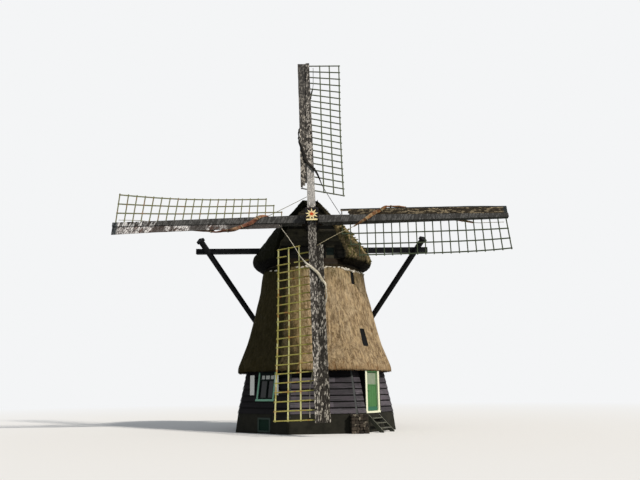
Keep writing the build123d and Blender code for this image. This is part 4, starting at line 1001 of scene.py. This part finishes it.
def makeWeatherboards():
    draw = random.Random(3)
    bm = tonedMesh()
    for number in range(8):
        for low, high in zip(boards["edges"], boards["edges"][1:]):
            for left, right, bottom, upper in runsAround(number, low, min(high + boards["lap"], 2.665)):
                width = right(bottom) - left(bottom)
                joints = [fixed(left(bottom) + width * draw.uniform(0.25, 0.75))] if width > 1.5 else []
                cuts = [left, *joints, right]
                for sides in zip(cuts, cuts[1:]):
                    proud, tone = boards["lowProud"] + draw.uniform(-0.005, 0.005), draw.random() ** 2 * 0.6
                    # painted shade by face, and on the top boards the painted shadow of the eave
                    tone += boards["shade"][number] + (0.7 if low > 2.35 else 0)
                    foot = bottom + draw.uniform(-0.004, 0.004)

                    def out(z):
                        share = (z - foot) / (upper - foot)
                        return wallFront(z) + proud + (boards["highProud"] - proud) * share

                    verts = slab(bm, facePlace(number), sides, foot, upper, out, boards["thick"])
                    faces = facesOf(verts)
                    toneFaces(bm, faces, min(tone, 0.9))
                    if high < boards["edges"][-1]:  # the strip in the shadow of the next board's foot
                        geom = list(faces | {e for f in faces for e in f.edges} | set(verts))
                        bmesh.ops.bisect_plane(bm, geom=geom, plane_co=(0, 0, high - boards["line"]),
                                               plane_no=(0, 0, 1), dist=0.0001)
    bm.normal_update()
    # painted shadow: the strip under each board's foot is toned fully dark
    for high in boards["edges"][1:-1]:
        line = high - boards["line"]
        toneFaces(bm, [f for f in bm.faces if line - 0.001 < f.calc_center_median().z < high + 0.035
                       and all(v.co.z > line - 0.002 for v in f.verts)], 1.0)
    # painted shade: the boards' undersides are toned fully dark
    toneFaces(bm, [f for f in bm.faces if f.normal.z < -0.7], 1.0)
    addPiece("weatherboards", bm, "tower", "tarred_boards", slot="tarred_boards", soften=0.002)
    bm = bmesh.new()
    for number in range(8):
        for left, right, bottom, upper in runsAround(number, 0.0, boards["skirtTop"]):
            if upper > 0.7 or bottom > 0.5:
                slab(bm, facePlace(number), (left, right), bottom, upper,
                     lambda z: wallFront(z) + boards["skirt"], boards["skirt"] + 0.02)
    addPiece("plinthSkirt", bm, "tower", "plinth_tar", slot="plinth_tar", soften=0.004)


makeWeatherboards()

# Windows that lean with the wall: a painted frame, black-green sashes, and net curtains behind the top lights
window = {"faces": (7, 3), "side": 0.05, "width": 1.04, "low": 1.37, "tall": 1.24, "jamb": 0.08, "depth": 0.2,
          "lean": 7.8, "proud": 0.055, "transom": 0.87, "sash": 0.05, "bar": 0.022}


def makeWindows():
    tall, jamb, rise, depth = (window[k] for k in ("tall", "jamb", "transom", "depth"))
    half, thin, top = window["width"] / 2, window["bar"] / 2, tall - jamb
    inner = half - jamb
    light, third = inner - window["sash"], inner / 3
    front = wallFront(window["low"]) + window["proud"]
    places = [facePlace(number) @ Matrix.Translation((window["side"], -front, window["low"]))
              @ Matrix.Rotation(radians(-window["lean"]), 4, "X") for number in window["faces"]]
    frames = [((side * half, 0, 0), (side * inner, depth, tall)) for side in (-1, 1)]
    frames.append(((-half - 0.03, -0.03, -0.02), (half + 0.03, 0.12, 0.065)))
    sashes = [((side * inner, 0.03, jamb), (side * light, 0.085, top)) for side in (-1, 1)]
    sashes += [((-inner, 0.028, z0), (inner, 0.085, z1))
               for z0, z1 in ((jamb, jamb + 0.06), (rise, rise + 0.05), (top - 0.04, top))]
    sashes.append(((0.008, 0.026, jamb), (0.056, 0.085, rise)))
    sashes += [((x - thin, 0.035, rise + 0.05), (x + thin, 0.08, top)) for x in (-third, third)]
    curtains = [((x0 + 0.02, 0.074, rise + 0.075), (x1 - 0.02, 0.0815, top - 0.05))
                for x0, x1 in ((-light, -third), (-third, third), (third, light))]
    for name, look, slot, soften, rows, replaced in (
            ("windowFrames", "teal_paint", "green_paint", 0.006, frames, ["window_frames"]),
            # the head is black-green, painted shadow under the eave
            ("windowHeads", "sash_paint", "green_paint", 0.006, [((-half, 0.004, top), (half, depth, tall))], ()),
            ("windowSashes", "sash_paint", "green_paint", 0.004, sashes, ()),
            ("windowPanes", "dark_glass", "dark_glass", 0.001, [((-inner, 0.082, jamb), (inner, 0.088, top))],
             ["window_glass"]),
            ("windowCurtains", "curtain", "dark_glass", 0.002, curtains, ())):
        addBlocks(name, "tower", look, slot, soften, places, rows, replaces=replaced)


makeWindows()

# The slit windows: black shutters set just inside the reed, so that their black fills the recess as painted shade
slitShutter = {"inset": 0.012, "thick": 0.04, "spare": 0.02}


def makeSlitShutters():
    bm = bmesh.new()
    for number in reed["slitFaces"]:
        for side, width, z0, z1 in reed["slits"]:
            half = width / 2 + slitShutter["spare"]
            slab(bm, facePlace(number), (fixed(side - half), fixed(side + half)), z0 - slitShutter["spare"],
                 z1 + slitShutter["spare"], lambda z: alongLine(thatchLine, z) * cos(eighth) - slitShutter["inset"],
                 slitShutter["thick"])
    addPiece("slitShutters", bm, "tower", "shadow_tar", slot="dark_glass", soften=0.004, replaces=["slit_windows"])


makeSlitShutters()

# The door's frame and the joinery on its leaf
door = {"side": -0.19, "half": 0.565, "bar": 0.135, "low": 0.795, "sill": 0.88, "leafTop": 2.56, "top": 2.65,
        "depth": 0.14, "proud": 0.03, "leafHalf": 0.425, "leafFront": 0.095, "leafLow": 0.89, "foot": 1.06,
        "stile": 0.05, "midRail": (1.97, 2.03), "pane": (2.03, 2.535), "boards": 4}


def makeDoor():
    place = facePlace(1) @ Matrix.Translation((door["side"], -wallFront(door["sill"]) - door["proud"], 0))
    half, leaf, depth, foot, low, top = (door[k] for k in ("half", "leafHalf", "depth", "foot", "low", "top"))
    inner, field, back, front = half - door["bar"], leaf - door["stile"], door["leafFront"], door["leafFront"] - 0.03
    leafTop, (paneLow, paneTop), (railLow, railTop) = door["leafTop"] - 0.006, door["pane"], door["midRail"]
    wide = 2 * field / door["boards"]
    frames = [((side * half, 0, low), (side * inner, depth, top)) for side in (-1, 1)]
    frames.append(((-half - 0.015, -0.02, low), (half + 0.015, 0.088, door["sill"])))
    addBlocks("doorFrame", "tower", "cream_paint", "cream_paint", 0.008, [place], frames, segments=2,
              replaces=["door_frame"])
    joinery = [((side * leaf, front, foot), (side * field, back, leafTop)) for side in (-1, 1)]
    joinery += [((-leaf, front, z0), (leaf, back, z1)) for z0, z1 in ((railLow, railTop), (paneTop, leafTop))]
    joinery += [((x + 0.003, front + 0.014, foot), (x + wide - 0.003, back, railLow))
                for x in (wide * n - field for n in range(door["boards"]))]
    for name, body, look, slot, soften, rows in (
            # the head is green where the frame is cream, as painted shade under the thatch
            ("doorHead", "tower", "green_paint", "green_paint", 0.006,
             [((-inner, 0.02, door["leafTop"]), (inner, depth, top))]),
            ("doorJoinery", "door", "green_paint", "green_paint", 0.004, joinery),
            ("doorPane", "door", "door_pane", "dark_glass", 0.001,
             [((-field, front + 0.008, paneLow), (field, back, paneTop))]),
            ("doorKickBoard", "door", "foot_paint", "green_paint", 0.005,
             [((-leaf, front - 0.004, door["leafLow"]), (leaf, back, foot))])):
        addBlocks(name, body, look, slot, soften, [place], rows)
    bm = bmesh.new()
    block(bm, (-leaf + 0.02, front - 0.006, 1.63), (-leaf + 0.06, front, 1.82), place)
    bmesh.ops.create_cone(bm, cap_ends=True, segments=12, radius1=0.012, radius2=0.012, depth=0.05,
                          matrix=place @ Matrix.Translation((-leaf + 0.04, front - 0.03, 1.74))
                          @ Matrix.Rotation(pi / 2, 4, "X"))
    block(bm, (-leaf + 0.03, front - 0.06, 1.73), (-leaf + 0.15, front - 0.04, 1.752), place)
    addPiece("doorHandle", bm, "door", "iron", slot="iron", soften=0.003)


makeDoor()

# Boards on the cap's gable, under the reed's edge, round the windshaft and the little hatch
gable = {"pitch": 0.21, "front": -2.13, "proud": 0.035, "topProud": 0.012, "lap": 0.02, "thick": 0.02, "inset": 0.22,
         # left, right, bottom and top of what the boards are cut round
         "openings": ((-0.36, 0.36, 9.13, 9.83), (0.66, 1.08, 8.11, 8.43)),
         # painted shade, from the top down: the boards are toned dark where the sails' shadow falls on the middle and
         # the eave's on the foot
         "tones": ((9.85, 0.2), (9.2, 0.95), (8.72, 0.15), (8.4, 0.6), (0, 0.95))}


def makeGableBoards():
    draw = random.Random(5)
    bm = tonedMesh()
    bottom, top = (corner.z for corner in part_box("cap_gable"))
    z = bottom + 0.02
    while z < top - 0.1:
        high = min(z + gable["pitch"], top)
        edge = capEdge(capStations[0], high) - gable["inset"]
        runs = [(-edge, edge)]
        for left, right, low, upper in gable["openings"]:
            if z < upper and high > low:
                runs = [(-edge, left), (right, edge)]

        def out(height):
            return (gable["proud"] if height == z else gable["topProud"]) - gable["front"]

        for x0, x1 in (run for run in runs if run[1] - run[0] > 0.05):
            verts = slab(bm, Matrix(), (fixed(x0), fixed(x1)), z, high + gable["lap"], out, gable["thick"])
            lean = draw.uniform(-0.01, 0.01)
            for v in verts:
                v.co.z += lean if v.co.x > (x0 + x1) / 2 else -lean
            # painted shade by height, spread a little at random
            pale = next(tone for start, tone in gable["tones"] if z > start)
            toneFaces(bm, facesOf(verts), min(max(pale + draw.uniform(-0.15, 0.15), 0), 1))
        z = high
    addPiece("gableBoards", bm, "cap", "gable_boards", slot="tarred_boards", soften=0.003)


makeGableBoards()
print("boards made")

# The lime mortar ring on the thatch under the cap, cracked and half fallen off
mortarRing = {"segments": 230, "low": 7.38, "high": 7.45, "left": 0.2}


def makeMortarRing():
    draw = random.Random(21)
    bm = tonedMesh()
    for n in range(mortarRing["segments"]):
        angle = 2 * pi * n / mortarRing["segments"]
        turn, fallen = angle + radians(millTurn), draw.random()
        if lump((n * 0.35, 0, 0), seed=4) < -0.16 or sin(turn) < 0.02 and fallen > mortarRing["left"]:
            continue
        z = draw.uniform(mortarRing["low"], mortarRing["high"])
        place = Matrix.Translation(roundTower(angle, reedRadius(angle, z) - 0.01, z)) @ Matrix.Rotation(turn, 4, "Z")
        size = (draw.uniform(0.06, 0.13), draw.uniform(0.03, 0.05), draw.uniform(0.018, 0.055))
        made = bmesh.ops.create_icosphere(bm, subdivisions=2, radius=1,
                                          matrix=place @ Matrix.Rotation(draw.uniform(-0.3, 0.3), 4, "Y")
                                          @ Matrix.Diagonal((*size, 1)))
        toneFaces(bm, facesOf(made["verts"]), draw.random())
    for v in bm.verts:
        v.co += v.normal * lump(v.co, 12.0) * 0.03
    addPiece("mortarRing", bm, "tower", "mortar", slot="pale_timber")


makeMortarRing()

# Plumb plaques beside the window, on battens that reach back to the leaning wall; they stay bare
plaque = {"sides": ((-0.88, -0.62), (0.62, 0.83)), "bottom": 1.61, "top": 2.48, "thick": 0.02, "proud": 0.075}


def makePlaques():
    low, high, front = plaque["bottom"], plaque["top"], -wallFront(plaque["bottom"]) - plaque["proud"]
    back = front + plaque["thick"]
    addBlocks("barePlaques", "tower", "white_paint", "white_paint", 0.004, [facePlace(7)],
              [((x0, front, low), (x1, back, high)) for x0, x1 in plaque["sides"]], segments=2, replaces=["plaques"])
    addBlocks("plaqueBattens", "tower", "sash_paint", "tarred_boards", 0.003, [facePlace(7)],
              [((x0 + 0.04, back, z), (x1 - 0.04, 0.02 - wallFront(z), z + 0.05))
               for x0, x1 in plaque["sides"] for z in (low + 0.1, high - 0.15)])


makePlaques()

# Stone pier by the door
pier = {"side": 1.55, "width": 0.76, "depth": 0.33, "top": 0.79, "courses": 6, "joint": 0.006}


def makePier():
    draw = random.Random(17)
    bm = tonedMesh()
    joint, tall, end = pier["joint"], pier["top"] / pier["courses"], pier["side"] + pier["width"] / 2
    for course in range(pier["courses"]):
        z, x = tall * course, end - pier["width"]
        back = 0.02 - wallFront(z)
        while x < end - 0.05:
            wide = min(draw.uniform(0.12, 0.24), end - x)
            verts = block(bm, (x + joint, back - pier["depth"] + draw.uniform(0, 0.05), z + 0.004),
                          (x + wide - joint, back, z + tall - 0.004), facePlace(0))
            toneFaces(bm, facesOf(verts), draw.random())
            x += wide
    softenEdges(bm, 0.018, 2)
    for v in bm.verts:
        v.co += v.normal * lump(v.co, 9.0) * 0.02
        v.co.z = max(v.co.z, 0.002)
    addPiece("stonePier", bm, "tower", "brick", slot="brick", replaces=["brick_pier"])


makePier()
print("plaques and pier made")
